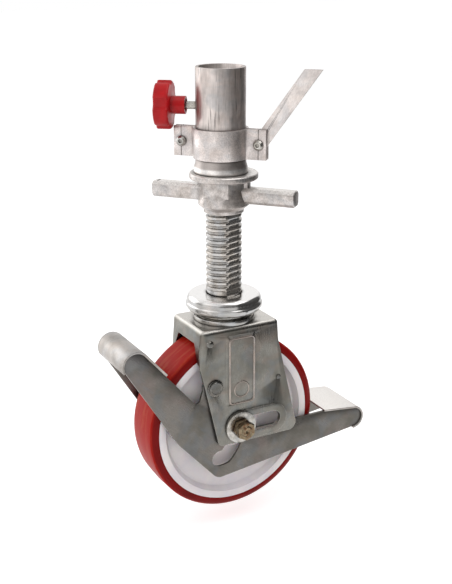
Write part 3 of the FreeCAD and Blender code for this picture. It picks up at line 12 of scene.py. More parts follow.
import bpy
import numpy as np
from mathutils import Euler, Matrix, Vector

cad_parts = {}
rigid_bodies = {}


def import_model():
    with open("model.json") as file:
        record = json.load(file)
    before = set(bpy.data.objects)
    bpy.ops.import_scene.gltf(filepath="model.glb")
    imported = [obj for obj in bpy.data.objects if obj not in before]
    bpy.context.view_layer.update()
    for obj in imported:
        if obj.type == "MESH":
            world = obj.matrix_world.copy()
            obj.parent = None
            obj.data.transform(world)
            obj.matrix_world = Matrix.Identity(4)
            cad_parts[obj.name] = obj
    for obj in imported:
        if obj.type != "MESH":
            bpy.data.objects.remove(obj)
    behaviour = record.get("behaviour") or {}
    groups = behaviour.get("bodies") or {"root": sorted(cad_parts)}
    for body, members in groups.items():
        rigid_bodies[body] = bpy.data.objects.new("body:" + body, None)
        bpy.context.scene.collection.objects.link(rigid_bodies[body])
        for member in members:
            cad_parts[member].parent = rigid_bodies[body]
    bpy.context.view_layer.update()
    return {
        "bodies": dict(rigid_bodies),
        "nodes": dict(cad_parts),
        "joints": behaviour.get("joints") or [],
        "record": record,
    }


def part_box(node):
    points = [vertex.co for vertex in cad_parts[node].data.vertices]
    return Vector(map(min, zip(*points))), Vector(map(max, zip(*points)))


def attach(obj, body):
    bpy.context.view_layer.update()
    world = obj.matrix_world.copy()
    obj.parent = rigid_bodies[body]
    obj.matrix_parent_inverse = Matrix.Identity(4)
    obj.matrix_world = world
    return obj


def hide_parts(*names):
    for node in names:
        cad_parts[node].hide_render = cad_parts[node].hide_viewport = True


Tree = bpy.types.NodeTree
Socket = bpy.types.NodeSocket
Span = tuple[float, float]
Point = tuple[float, float, float]

LOG = logging.getLogger("castor")
MM = 0.001
FULL_TURN = 2 * math.pi
WHITE = (1.0, 1.0, 1.0, 1.0)
EAR_BEARING_DEG = -47.0
SHELTER_SAMPLES = 8
EDGE_SAMPLES = 4


class Side(Enum):
    """A side of the fork, with the sign of Y there."""

    NEAR = -1.0
    FAR = 1.0


def srgb(text: str) -> tuple[float, float, float, float]:
    """Turn an sRGB hex value to the linear colour that a socket takes.

    Args:
        text: Colour as "#rrggbb".

    Returns:
        Linear red, green and blue, and full opacity.
    """
    values = [int(text[start:start + 2], 16) / 255 for start in (1, 3, 5)]
    linear = [v / 12.92 if v <= 0.04045 else ((v + 0.055) / 1.055) ** 2.4 for v in values]
    return (linear[0], linear[1], linear[2], 1.0)


def add(tree: Tree, kind: str, inputs: dict[Any, Any] | None = None,
        **settings: Any) -> bpy.types.Node:
    """Add a node with its settings, and set or link its inputs.

    Args:
        tree: Node tree that gets the node.
        kind: Blender's name of the node type.
        inputs: Socket name or number to a value, or to the output socket that feeds it.
        **settings: Properties of the node itself.

    Returns:
        The new node.
    """
    node = tree.nodes.new(kind)
    for key, value in settings.items():
        setattr(node, key, value)
    for key, value in (inputs or {}).items():
        if isinstance(value, Socket):
            tree.links.new(value, node.inputs[key])
        else:
            node.inputs[key].default_value = value
    return node


def coated(tree: Tree, under: Any, over: Any, level: Socket, span: Span,
           share: Span = (0.0, 1.0)) -> Socket:
    """Lay a coat over a colour where a pattern's level passes from one value to another.

    Args:
        tree: Node tree that gets the nodes.
        under: Colour under the coat, or the socket that gives it.
        over: Colour of the coat, or the socket that gives it.
        level: Pattern that says where the coat lies.
        span: Levels between which it comes in.
        share: How much of it shows at those two levels.

    Returns:
        The colour with its coat.
    """
    cover = add(tree, "ShaderNodeMapRange", {
        "Value": level, "From Min": span[0], "From Max": span[1],
        "To Min": share[0], "To Max": share[1]}).outputs["Result"]
    return add(tree, "ShaderNodeMix", {"Factor": cover, "A": under, "B": over},
               data_type="RGBA").outputs["Result"]


def new_piece(name: str, points: list[Any], faces: list[Any]) -> bpy.types.Object:
    """Make a mesh object at the origin and put it in the scene.

    Args:
        name: Name of the object and its mesh.
        points: Its points, in metres.
        faces: Its faces, as numbers of points.

    Returns:
        The object.
    """
    mesh = bpy.data.meshes.new(name)
    mesh.from_pydata(points, [], faces)
    piece = bpy.data.objects.new(name, mesh)
    bpy.context.scene.collection.objects.link(piece)
    return piece


def closed_grid(name: str, points: np.ndarray) -> bpy.types.Object:
    """Make a mesh from a grid of points that closes on itself both ways.

    Args:
        name: Name of the piece.
        points: Array of shape (rows, columns, 3), in metres; the last row joins the first, and
            the last column joins the first.

    Returns:
        The object, at the origin, with smooth faces. They point outwards, which the sign of the
        sum of each face's volume to the origin tells.
    """
    rows, columns = points.shape[:2]
    row, column = np.meshgrid(np.arange(rows), np.arange(columns), indexing="ij")
    after, beside = (row + 1) % rows, (column + 1) % columns
    faces = np.stack([row * columns + column, row * columns + beside,
                      after * columns + beside, after * columns + column],
                     axis=-1).reshape(-1, 4)
    flat = points.reshape(-1, 3)
    first, second, third = (flat[faces[:, corner]] for corner in range(3))
    if np.sum(first * np.cross(second, third)) < 0:
        faces = faces[:, ::-1]
    piece = new_piece(name, flat.tolist(), faces.tolist())
    piece.data.polygons.foreach_set("use_smooth", [True] * len(faces))
    return piece


def capped_grid(name: str, points: np.ndarray) -> bpy.types.Object:
    """Make a mesh from a grid of points that closes round each row, with flat ends.

    Args:
        name: Name of the piece.
        points: Array of shape (rows, columns, 3), in metres, with rows going up and columns
            turning left round the axis, so that the faces point outwards.

    Returns:
        The object, at the origin, with smooth sides.
    """
    rows, columns = points.shape[:2]
    row, column = np.meshgrid(np.arange(rows - 1), np.arange(columns), indexing="ij")
    beside = (column + 1) % columns
    sides = np.stack([row * columns + column, row * columns + beside,
                      (row + 1) * columns + beside, (row + 1) * columns + column],
                     axis=-1).reshape(-1, 4)
    ends = [list(range(columns - 1, -1, -1)), list(range((rows - 1) * columns, rows * columns))]
    piece = new_piece(name, points.reshape(-1, 3).tolist(), sides.tolist() + ends)
    piece.data.polygons.foreach_set("use_smooth", [True] * len(sides) + [False, False])
    return piece


def middle_of(node: str) -> np.ndarray:
    """Give the middle of a solid's box at rest, in metres."""
    low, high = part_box(node)
    return (np.array(low) + np.array(high)) / 2


@dataclass(frozen=True)
class Groove:
    """A fine line scored down a plate, at one distance from the tube's axis."""

    bearing_deg: float
    reach_mm: float
    wide_mm: float = 0.8

    def marked(self, tree: Tree, place: Socket) -> Socket:
        """Mark the line: how far a point's distance along the bearing is from the line's.

        Args:
            tree: Node tree that gets the nodes.
            place: The point, in metres.

        Returns:
            1 on the line and 0 beside it.
        """
        bearing = math.radians(self.bearing_deg)
        way = (math.cos(bearing), math.sin(bearing), 0.0)
        out = add(tree, "ShaderNodeVectorMath", {0: place, 1: way},
                  operation="DOT_PRODUCT").outputs["Value"]
        reach = add(tree, "ShaderNodeMath", {0: out}, operation="ABSOLUTE").outputs[0]
        return add(tree, "ShaderNodeMath", {
            0: reach, 1: self.reach_mm * MM, 2: self.wide_mm / 2 * MM},
            operation="COMPARE").outputs[0]


@dataclass(frozen=True)
class Finish:
    """A surface finish: each kind wires nodes of its own to the shader."""

    name: str

    def build(self) -> bpy.types.Material:
        """Make the material.

        Returns:
            The finished node material.
        """
        made = bpy.data.materials.new(self.name)
        made.use_nodes = True
        self.wire(made.node_tree, made.node_tree.nodes["Principled BSDF"])
        return made

    def wire(self, tree: Tree, shader: bpy.types.Node) -> None:
        """Wire the finish's nodes to the shader; a bare finish has none."""


@dataclass(frozen=True)
class StageFinish(Finish):
    """One flat matt colour, for the floor and the card."""

    colour: str
    rough: float = 0.9
    shine: float = 0.1

    def wire(self, tree: Tree, shader: bpy.types.Node) -> None:
        """Set the shader's colour, roughness and shine.

        Args:
            tree: The material's node tree.
            shader: Its shader.
        """
        shader.inputs["Base Color"].default_value = srgb(self.colour)
        shader.inputs["Roughness"].default_value = self.rough
        shader.inputs["Specular IOR Level"].default_value = self.shine


@dataclass(frozen=True)
class MetalFinish(Finish):
    """A metal surface: bright and dull clouds, a grain, fine scratches, and dirt with painted
    shade in corners.

    Sizes are in millimetres. The grain and the scratches may be drawn out along Z, after a
    turn about Y that lays them along a rolled sheet. Where a top colour is given, faces that
    look up have it as a painted highlight; a band colour lies above one height; and sharp
    edges get a wear colour, partly rubbed wear and partly a painted edge highlight. Real grain
    and scratches are too fine to show in the render, so they are drawn about a millimetre wide.
    The constants are the levels between which each coat comes in.
    """

    CLOUDS: ClassVar[Span] = (0.38, 0.62)
    TINTS: ClassVar[Span] = (0.48, 0.64)
    PAINTED_TOP_LIGHT: ClassVar[Span] = (0.35, 0.9)
    STREAKS: ClassVar[Span] = (0.32, 0.68)
    SCRATCHES: ClassVar[Span] = (0.62, 0.72)
    OPENNESS: ClassVar[Span] = (0.35, 0.95)
    GLOSS: ClassVar[Span] = (0.8, 1.2)
    EDGE_LEAN: ClassVar[Span] = (0.98, 0.86)

    clean: str
    dull: str
    # Dark colour of scratches and the groove, also laid in corners as dirt and painted shade.
    dirt_and_shade: str
    warm: str
    cool: str
    smooth: float = 0.25
    rough: float = 0.45
    patch_mm: float = 30.0
    tint_mm: float = 34.0
    cool_part: float = 0.7
    tint_share: float = 0.3
    tint_twist: float = 1.2
    grain_mm: float = 1.2
    grain_dark: float = 0.86
    grain_light: float = 1.08
    grain_depth_mm: float = 0.02
    drawn_out: float = 1.0
    turn_deg: float = 0.0
    scratch_mm: float = 0.0
    scratch_share: float = 0.5
    lump_mm: float = 0.0
    lump_depth_mm: float = 0.0
    dirt_and_shade_reach_mm: float = 5.0
    dirt_and_shade_share: float = 0.7
    groove: Groove | None = None
    # Colour of faces that look up: a painted highlight.
    top: str = ""
    band: str = ""
    band_from_mm: float = 0.0
    band_fade_mm: float = 1.6
    # Colour of sharp edges: partly rubbed wear, partly a painted edge highlight.
    wear_and_highlight: str = ""
    wear_and_highlight_mm: float = 0.9
    wear_and_highlight_share: float = 0.7

    def wire(self, tree: Tree, shader: bpy.types.Node) -> None:
        """Wire the colour, the gloss and the relief to the shader.

        Args:
            tree: The material's node tree.
            shader: Its shader.
        """
        shader.inputs["Metallic"].default_value = 1.0
        place = add(tree, "ShaderNodeTexCoord").outputs["Object"]
        along = add(tree, "ShaderNodeMapping", {
            "Vector": place, "Rotation": (0.0, math.radians(self.turn_deg), 0.0),
            "Scale": (1.0, 1.0, self.drawn_out)}, vector_type="TEXTURE").outputs["Vector"]
        patch = add(tree, "ShaderNodeTexNoise", {
            "Vector": place, "Scale": 1 / (self.patch_mm * MM), "Detail": 4.0,
            "Roughness": 0.6}).outputs["Fac"]
        grain = add(tree, "ShaderNodeTexNoise", {
            "Vector": along, "Scale": 1 / (self.grain_mm * MM), "Detail": 3.0,
            "Roughness": 0.65}).outputs["Fac"]
        streak = add(tree, "ShaderNodeMapRange", {
            "Value": grain, "From Min": self.STREAKS[0], "From Max": self.STREAKS[1],
            "To Min": self.grain_dark, "To Max": self.grain_light}).outputs["Result"]
        streaked = add(tree, "ShaderNodeMix", {
            "Factor": 1.0, "A": self.plated(tree, place, patch), "B": streak},
            data_type="RGBA", blend_type="MULTIPLY").outputs["Result"]
        colour = self.used(tree, place, along, streaked)
        tree.links.new(colour, shader.inputs["Base Color"])
        both = add(tree, "ShaderNodeMath", {0: patch, 1: grain}, operation="ADD").outputs[0]
        gloss = add(tree, "ShaderNodeMapRange", {
            "Value": both, "From Min": self.GLOSS[0], "From Max": self.GLOSS[1],
            "To Min": self.smooth, "To Max": self.rough}).outputs["Result"]
        tree.links.new(gloss, shader.inputs["Roughness"])
        relief = add(tree, "ShaderNodeBump", {
            "Height": grain, "Distance": self.grain_depth_mm * MM}).outputs["Normal"]
        if self.lump_depth_mm:
            lumps = add(tree, "ShaderNodeTexNoise", {
                "Vector": place, "Scale": 1 / (self.lump_mm * MM), "Detail": 2.0})
            relief = add(tree, "ShaderNodeBump", {
                "Height": lumps.outputs["Fac"], "Distance": self.lump_depth_mm * MM,
                "Normal": relief}).outputs["Normal"]
        tree.links.new(relief, shader.inputs["Normal"])

    def plated(self, tree: Tree, place: Socket, patch: Socket) -> Socket:
        """Lay the plating's colours: clean and dull clouds, two tints, a painted highlight on
        faces that look up, and the band.

        Args:
            tree: The material's node tree.
            place: Object coordinates, in metres.
            patch: The cloud pattern.

        Returns:
            The colour of the plating before use, with its painted highlight on faces that look up.
        """
        colour = coated(tree, srgb(self.clean), srgb(self.dull), patch, self.CLOUDS)
        cool_mm = self.tint_mm * self.cool_part
        for tint, size_mm in ((self.warm, self.tint_mm), (self.cool, cool_mm)):
            hue = add(tree, "ShaderNodeTexNoise", {
                "Vector": place, "Scale": 1 / (size_mm * MM), "Detail": 2.0,
                "Distortion": self.tint_twist}).outputs["Fac"]
            colour = coated(tree, colour, srgb(tint), hue, self.TINTS, (0.0, self.tint_share))
        # Faces that look up take the top colour: a painted highlight from the light above.
        if self.top:
            normal = add(tree, "ShaderNodeTexCoord").outputs["Normal"]
            up = add(tree, "ShaderNodeSeparateXYZ", {0: normal}).outputs["Z"]
            colour = coated(tree, colour, srgb(self.top), up, self.PAINTED_TOP_LIGHT)
        if self.band:
            height = add(tree, "ShaderNodeSeparateXYZ", {0: place}).outputs["Z"]
            fade = (self.band_from_mm * MM, (self.band_from_mm + self.band_fade_mm) * MM)
            colour = coated(tree, colour, srgb(self.band), height, fade)
        return colour

    def used(self, tree: Tree, place: Socket, along: Socket, colour: Socket) -> Socket:
        """Lay what use leaves on the plating, with painted light: scratches, a groove, dirt with
        painted shade in corners, and edges lightened partly by wear, partly as a painted
        highlight.

        An edge is where a rounded copy's normal leans from the face's own.

        Args:
            tree: The material's node tree.
            place: Object coordinates, in metres.
            along: The same, drawn out along the grain.
            colour: The colour under it.

        Returns:
            The colour of the used surface.
        """
        dirt_and_shade = srgb(self.dirt_and_shade)
        if self.scratch_mm:
            line = add(tree, "ShaderNodeTexNoise", {
                "Vector": along, "Scale": 1 / (self.scratch_mm * MM), "Detail": 2.0})
            colour = coated(tree, colour, dirt_and_shade, line.outputs["Fac"], self.SCRATCHES,
                            (0.0, self.scratch_share))
        if self.groove:
            line = self.groove.marked(tree, place)
            colour = add(tree, "ShaderNodeMix", {"Factor": line, "A": colour, "B": dirt_and_shade},
                         data_type="RGBA").outputs["Result"]
        # Sheltered corners take the dark colour: dirt and painted shade.
        shelter = add(tree, "ShaderNodeAmbientOcclusion", {"Distance": self.dirt_and_shade_reach_mm * MM},
                      samples=SHELTER_SAMPLES).outputs["AO"]
        colour = coated(tree, colour, dirt_and_shade, shelter, self.OPENNESS, (self.dirt_and_shade_share, 0.0))
        # Sharp edges take the lighter colour: partly rubbed wear, partly a painted edge highlight.
        if self.wear_and_highlight:
            rounded = add(tree, "ShaderNodeBevel", {"Radius": self.wear_and_highlight_mm * MM},
                          samples=EDGE_SAMPLES).outputs["Normal"]
            face = add(tree, "ShaderNodeNewGeometry").outputs["Normal"]
            same = add(tree, "ShaderNodeVectorMath", {0: rounded, 1: face},
                       operation="DOT_PRODUCT").outputs["Value"]
            colour = coated(tree, colour, srgb(self.wear_and_highlight), same, self.EDGE_LEAN,
                            (0.0, self.wear_and_highlight_share))
        return colour


@dataclass(frozen=True)
class PolymerFinish(Finish):
    """A moulded plastic: one colour with faint clouds, a satin skin and a little dust with painted
    shade in corners.

    The skin's real texture is too fine to show in the render, so it is drawn 0.8 mm wide.
    """

    CLOUDS: ClassVar[Span] = (0.4, 0.65)
    OPENNESS: ClassVar[Span] = (0.4, 0.95)
    GLOSS: ClassVar[Span] = (0.35, 0.7)

    colour: str
    cloud: str
    dust_and_shade: str
    smooth: float = 0.28
    rough: float = 0.42
    cloud_mm: float = 14.0
    skin_mm: float = 0.8
    skin_depth_mm: float = 0.015
    dust_and_shade_reach_mm: float = 6.0
    dust_and_shade_share: float = 0.5
    glow: float = 0.0
    glow_mm: float = 3.0
    shine: float = 0.5

    def wire(self, tree: Tree, shader: bpy.types.Node) -> None:
        """Wire the colour, the gloss and the moulded skin to the shader.

        Args:
            tree: The material's node tree.
            shader: Its shader.
        """
        shader.inputs["Specular IOR Level"].default_value = self.shine
        if self.glow:
            shader.inputs["Subsurface Weight"].default_value = self.glow
            shader.inputs["Subsurface Scale"].default_value = self.glow_mm * MM
        place = add(tree, "ShaderNodeTexCoord").outputs["Object"]
        clouds = add(tree, "ShaderNodeTexNoise", {
            "Vector": place, "Scale": 1 / (self.cloud_mm * MM), "Detail": 5.0}).outputs["Fac"]
        base = coated(tree, srgb(self.colour), srgb(self.cloud), clouds, self.CLOUDS)
        # Sheltered corners take the dust colour: dust and painted shade.
        shelter = add(tree, "ShaderNodeAmbientOcclusion", {"Distance": self.dust_and_shade_reach_mm * MM},
                      samples=SHELTER_SAMPLES).outputs["AO"]
        colour = coated(tree, base, srgb(self.dust_and_shade), shelter, self.OPENNESS,
                        (self.dust_and_shade_share, 0.0))
        tree.links.new(colour, shader.inputs["Base Color"])
        gloss = add(tree, "ShaderNodeMapRange", {
            "Value": clouds, "From Min": self.GLOSS[0], "From Max": self.GLOSS[1],
            "To Min": self.smooth, "To Max": self.rough}).outputs["Result"]
        tree.links.new(gloss, shader.inputs["Roughness"])
        skin = add(tree, "ShaderNodeTexNoise", {
            "Vector": place, "Scale": 1 / (self.skin_mm * MM), "Detail": 2.0}).outputs["Fac"]
        relief = add(tree, "ShaderNodeBump", {
            "Height": skin, "Distance": self.skin_depth_mm * MM}).outputs["Normal"]
        tree.links.new(relief, shader.inputs["Normal"])


@dataclass(frozen=True)
class TreadFinish(Finish):
    """Cast polyurethane: dark red on the sides, lighter and scuffed round the tread, the scuffs
    partly real and partly a painted sheen.
    """

    CLOUDS: ClassVar[Span] = (0.4, 0.7)
    SCUFFS: ClassVar[Span] = (0.5, 0.7)

    centre: Point
    side: str = "#7e1211"
    deep: str = "#5a0b0a"
    deep_mm: float = 38.0
    deep_share: float = 0.6
    tread: str = "#a31a12"
    scuff_and_sheen: str = "#b0563c"
    tread_from_mm: float = 96.8
    tread_to_mm: float = 98.6
    scuff_mm: float = 7.0
    scuff_long: float = 6.0
    scuff_and_sheen_share: float = 0.75
    scuff_depth_mm: float = 0.05
    wheel_mm: float = 100.0
    smooth: float = 0.22
    rough: float = 0.5
    shine: float = 0.08

    def wire(self, tree: Tree, shader: bpy.types.Node) -> None:
        """Wire the finish: the distance from the axle tells the tread from the sides.

        The scuffs follow the rim: their coordinates are the arc round the axle, the width
        across the tread, and the distance from the axle.

        Args:
            tree: The material's node tree.
            shader: Its shader.
        """
        shader.inputs["Specular IOR Level"].default_value = self.shine
        place = add(tree, "ShaderNodeTexCoord").outputs["Object"]
        about = add(tree, "ShaderNodeMapping", {
            "Vector": place, "Location": [-v for v in self.centre]}).outputs["Vector"]
        off_axle = (1.0, 0.0, 1.0)
        flat = add(tree, "ShaderNodeVectorMath", {0: about, 1: off_axle},
                   operation="MULTIPLY").outputs["Vector"]
        radius = add(tree, "ShaderNodeVectorMath", {0: flat}, operation="LENGTH").outputs["Value"]
        split = add(tree, "ShaderNodeSeparateXYZ", {0: about}).outputs
        angle = add(tree, "ShaderNodeMath", {0: split["X"], 1: split["Z"]},
                    operation="ARCTAN2").outputs[0]
        arc = add(tree, "ShaderNodeMath", {0: angle, 1: self.wheel_mm * MM / self.scuff_long},
                  operation="MULTIPLY").outputs[0]
        round_rim = add(tree, "ShaderNodeCombineXYZ", {
            "X": arc, "Y": split["Y"], "Z": radius}).outputs["Vector"]
        scuffs = add(tree, "ShaderNodeTexNoise", {
            "Vector": round_rim, "Scale": 1 / (self.scuff_mm * MM), "Detail": 5.0,
            "Roughness": 0.65}).outputs["Fac"]
        on_tread = add(tree, "ShaderNodeMapRange", {
            "Value": radius, "From Min": self.tread_from_mm * MM,
            "From Max": self.tread_to_mm * MM}).outputs["Result"]
        # Scuffs lighten the tread: partly real scuffs, partly a painted sheen.
        scuffed_and_sheen = add(tree, "ShaderNodeMapRange", {
            "Value": scuffs, "From Min": self.SCUFFS[0], "From Max": self.SCUFFS[1],
            "To Max": self.scuff_and_sheen_share}).outputs["Result"]
        worn_and_sheen = add(tree, "ShaderNodeMix", {
            "Factor": scuffed_and_sheen, "A": srgb(self.tread), "B": srgb(self.scuff_and_sheen)},
            data_type="RGBA").outputs["Result"]
        clouds = add(tree, "ShaderNodeTexNoise", {
            "Vector": place, "Scale": 1 / (self.deep_mm * MM), "Detail": 3.0}).outputs["Fac"]
        sides = coated(tree, srgb(self.side), srgb(self.deep), clouds, self.CLOUDS,
                       (0.0, self.deep_share))
        colour = add(tree, "ShaderNodeMix", {"Factor": on_tread, "A": sides, "B": worn_and_sheen},
                     data_type="RGBA").outputs["Result"]
        tree.links.new(colour, shader.inputs["Base Color"])
        both = add(tree, "ShaderNodeMath", {0: on_tread, 1: scuffed_and_sheen},
                   operation="ADD").outputs[0]
        gloss = add(tree, "ShaderNodeMapRange", {
            "Value": both, "From Max": 1.0 + self.scuff_and_sheen_share, "To Min": self.smooth,
            "To Max": self.rough}).outputs["Result"]
        tree.links.new(gloss, shader.inputs["Roughness"])
        relief = add(tree, "ShaderNodeBump", {
            "Height": scuffs, "Distance": self.scuff_depth_mm * MM}).outputs["Normal"]
        tree.links.new(relief, shader.inputs["Normal"])


# Extruded aluminium tube, weathered: matt, with fine scratches and stains drawn along it.
TUBE_ALUMINIUM = MetalFinish(
    "scratched_tube_aluminium", "#d6ccc7", "#b8b0ac", "#4a4644", "#b8a294", "#a2a8ae",
    smooth=0.34, rough=0.5, patch_mm=22, grain_mm=1.3, grain_dark=0.84, grain_light=1.06,
    drawn_out=14, scratch_mm=2.2, scratch_share=0.55)
# Extruded aluminium clamp: brighter, grainy with fine corrosion, scored for its bolt holes.
CLAMP_ALUMINIUM = MetalFinish(
    "grainy_clamp_aluminium", "#e4dbd7", "#c8bfbb", "#5a5552", "#c3b2a6", "#b4b8bd",
    smooth=0.38, rough=0.56, patch_mm=16, grain_mm=1.3, grain_dark=0.74, grain_light=1.12,
    grain_depth_mm=0.05, dirt_and_shade_share=0.55, groove=Groove(EAR_BEARING_DEG, 41.0))
# The flat bar: pale, with grain along its rolled face.
BAR_ALUMINIUM = MetalFinish(
    "flat_bar_aluminium", "#dbd3cf", "#bdb5b1", "#6a6461", "#d2c4ba", "#c0c3c7",
    smooth=0.4, rough=0.58, patch_mm=18, grain_mm=1.4, grain_dark=0.84, drawn_out=3,
    turn_deg=35)
# Bright zinc plate on pressed steel: clear reflections with faint clouds; faces that look up are
# painted near white as a highlight.
BRIGHT_ZINC = MetalFinish(
    "bright_zinc_plate", "#b9b7b4", "#9c9a97", "#4a4643", "#c8bdb6", "#b0b6be",
    smooth=0.12, rough=0.28, patch_mm=34, grain_mm=0.9, grain_dark=0.92, grain_light=1.04,
    grain_depth_mm=0.01, lump_mm=18, lump_depth_mm=0.12, dirt_and_shade_reach_mm=4, top="#f4f2f0")
# The tube's flared ring: dull white zinc, stained grey like the tube on its upper wall.
DULL_ZINC = MetalFinish(
    "dull_zinc_ring", "#f4f0ed", "#dfdad6", "#4c4845", "#d3c8bf", "#c2c5c9",
    smooth=0.34, rough=0.5, patch_mm=12, dirt_and_shade_reach_mm=3, band="#aba39f",
    band_from_mm=-100.5)
# Zinc-plated casting: pale, speckled and uneven, so that its reflections break up.
# Faces that look up are painted nearly white as a highlight; edges are lighter, partly wear,
# partly a painted highlight.
CAST_ZINC = MetalFinish(
    "zinc_plated_casting", "#d3ccc8", "#aba49f", "#45403d", "#c5b8af", "#a6abb1",
    smooth=0.36, rough=0.52, patch_mm=9, grain_mm=1.3, grain_dark=0.66, grain_light=1.1,
    grain_depth_mm=0.09, lump_mm=5, lump_depth_mm=0.3, dirt_and_shade_reach_mm=7, dirt_and_shade_share=0.8,
    top="#f2eeea", wear_and_highlight="#efe9e5", wear_and_highlight_share=0.5)
# Zinc on a rolled thread: valleys darkened by grease and painted shade, bright crests.
THREAD_ZINC = MetalFinish(
    "greased_thread_zinc", "#c2bdb8", "#a39e98", "#2c2926", "#c4b8a8", "#a9b2bc",
    smooth=0.2, rough=0.38, patch_mm=14, grain_mm=1.0, dirt_and_shade_reach_mm=3, dirt_and_shade_share=0.95)
# Zinc on sheet steel: satin greenish grey, faintly pink and blue where it is uneven.
# Faces that look up are painted paler as a highlight; edges are lighter, partly wear, partly a
# painted highlight.
SHEET_ZINC = MetalFinish(
    "satin_sheet_zinc", "#82807a", "#716f68", "#2f2d2a", "#877970", "#72787c",
    smooth=0.24, rough=0.4, patch_mm=26, tint_mm=32, tint_share=0.38, grain_mm=1.1,
    grain_dark=0.9, grain_light=1.05, drawn_out=9, dirt_and_shade_reach_mm=4, dirt_and_shade_share=0.6,
    top="#d2cec8", wear_and_highlight="#c9c4bc")
# The same sheet in the lever plates, rolled along the front arm.
# Its edges are lighter, partly wear, partly a painted highlight.
LEVER_ZINC = MetalFinish(
    "satin_lever_zinc", "#74706b", "#65625c", "#2f2d2a", "#7d6e6a", "#686f76",
    smooth=0.26, rough=0.42, tint_mm=38, tint_share=0.32, grain_mm=1.1, grain_dark=0.88,
    grain_light=1.06, drawn_out=9, turn_deg=-48, dirt_and_shade_reach_mm=4, dirt_and_shade_share=0.6,
    wear_and_highlight="#b5b0a8", wear_and_highlight_share=0.5)
# The same zinc on the upper pedal, painted paler than the lever plates as a highlight; edges
# lighter, partly wear, partly a painted highlight.
PEDAL_ZINC_PAINTED_LIGHTER = MetalFinish(
    "pedal_zinc_painted_lighter", "#b9b4b0", "#9f9a95", "#45413d", "#c3b7ad", "#aeb2b6",
    smooth=0.4, rough=0.55, patch_mm=22, grain_mm=1.3, grain_dark=0.82, grain_light=1.05,
    lump_mm=16, lump_depth_mm=0.1, wear_and_highlight="#d8d3ce", wear_and_highlight_share=0.5)
# The lower pedal lies flat under the boot; its zinc is painted paler than the lever plates', and
# nearly white on top, both painted highlights.
TREADLE_ZINC_PAINTED_LIGHTER = MetalFinish(
    "treadle_zinc_painted_lighter", "#c0bbb7", "#a6a19c", "#55504c", "#d8ccc2", "#c0c4c8",
    smooth=0.38, rough=0.52, patch_mm=22, grain_mm=1.3, grain_dark=0.88, grain_light=1.05,
    lump_mm=16, lump_depth_mm=0.1, top="#f2eeea")
# Pressed ribs of the fork stand proud; they are painted brighter than the sheet round them as a
# highlight, with dark painted shade close round them.
RIB_ZINC_PAINTED_HIGHLIGHT = MetalFinish(
    "rib_zinc_painted_highlight", "#a79d95", "#8f867f", "#25221f", "#a8968c", "#90959a",
    smooth=0.22, rough=0.36, grain_mm=1.1, grain_dark=0.9, grain_light=1.05, drawn_out=9,
    dirt_and_shade_reach_mm=1.2, dirt_and_shade_share=0.8)
# Small plated fasteners.
FASTENER_ZINC = MetalFinish(
    "fastener_zinc", "#c6c2bc", "#a39f98", "#35312c", "#b5a88f", "#a3a9ae",
    smooth=0.2, rough=0.4, patch_mm=6, grain_mm=0.8, dirt_and_shade_reach_mm=2.5, dirt_and_shade_share=0.85)
# Pins in the fork: the sheet's own grey, polished by the press.
# Their edges are painted near white, partly wear, partly a painted highlight, with dark painted
# shade close round them.
PIN_ZINC = MetalFinish(
    "pressed_pin_zinc", "#66645f", "#5b5954", "#2a2723", "#857a70", "#757b80",
    smooth=0.16, rough=0.3, patch_mm=16, grain_mm=1.0, dirt_and_shade_reach_mm=1.6, dirt_and_shade_share=0.9,
    wear_and_highlight="#dcd7cf", wear_and_highlight_mm=0.6)
# Yellow-passivated zinc, dulled and browned with rust.
# Its edges are lighter, partly wear, partly a painted highlight.
YELLOW_ZINC = MetalFinish(
    "yellow_passivated_zinc", "#8f7f68", "#6b5c49", "#20160f", "#6a4229", "#8b8068",
    smooth=0.22, rough=0.42, patch_mm=5, grain_mm=0.8, tint_mm=5, tint_share=0.75,
    dirt_and_shade_reach_mm=2.5, dirt_and_shade_share=0.95, wear_and_highlight="#c4b79e", wear_and_highlight_mm=0.5)
# Glass-filled nylon, dyed red, with a satin moulded skin.
RED_NYLON = PolymerFinish("red_moulded_nylon", "#b80f16", "#a00b12", "#4e0d10", shine=0.25)
# Natural nylon of the wheel's core, slightly translucent, a little soiled, with faint painted
# shade in corners.
WHITE_NYLON = PolymerFinish(
    "natural_nylon", "#f2ebea", "#e3dce2", "#9a9094", rough=0.44, cloud_mm=35,
    dust_and_shade_reach_mm=7, dust_and_shade_share=0.15, glow=0.1)


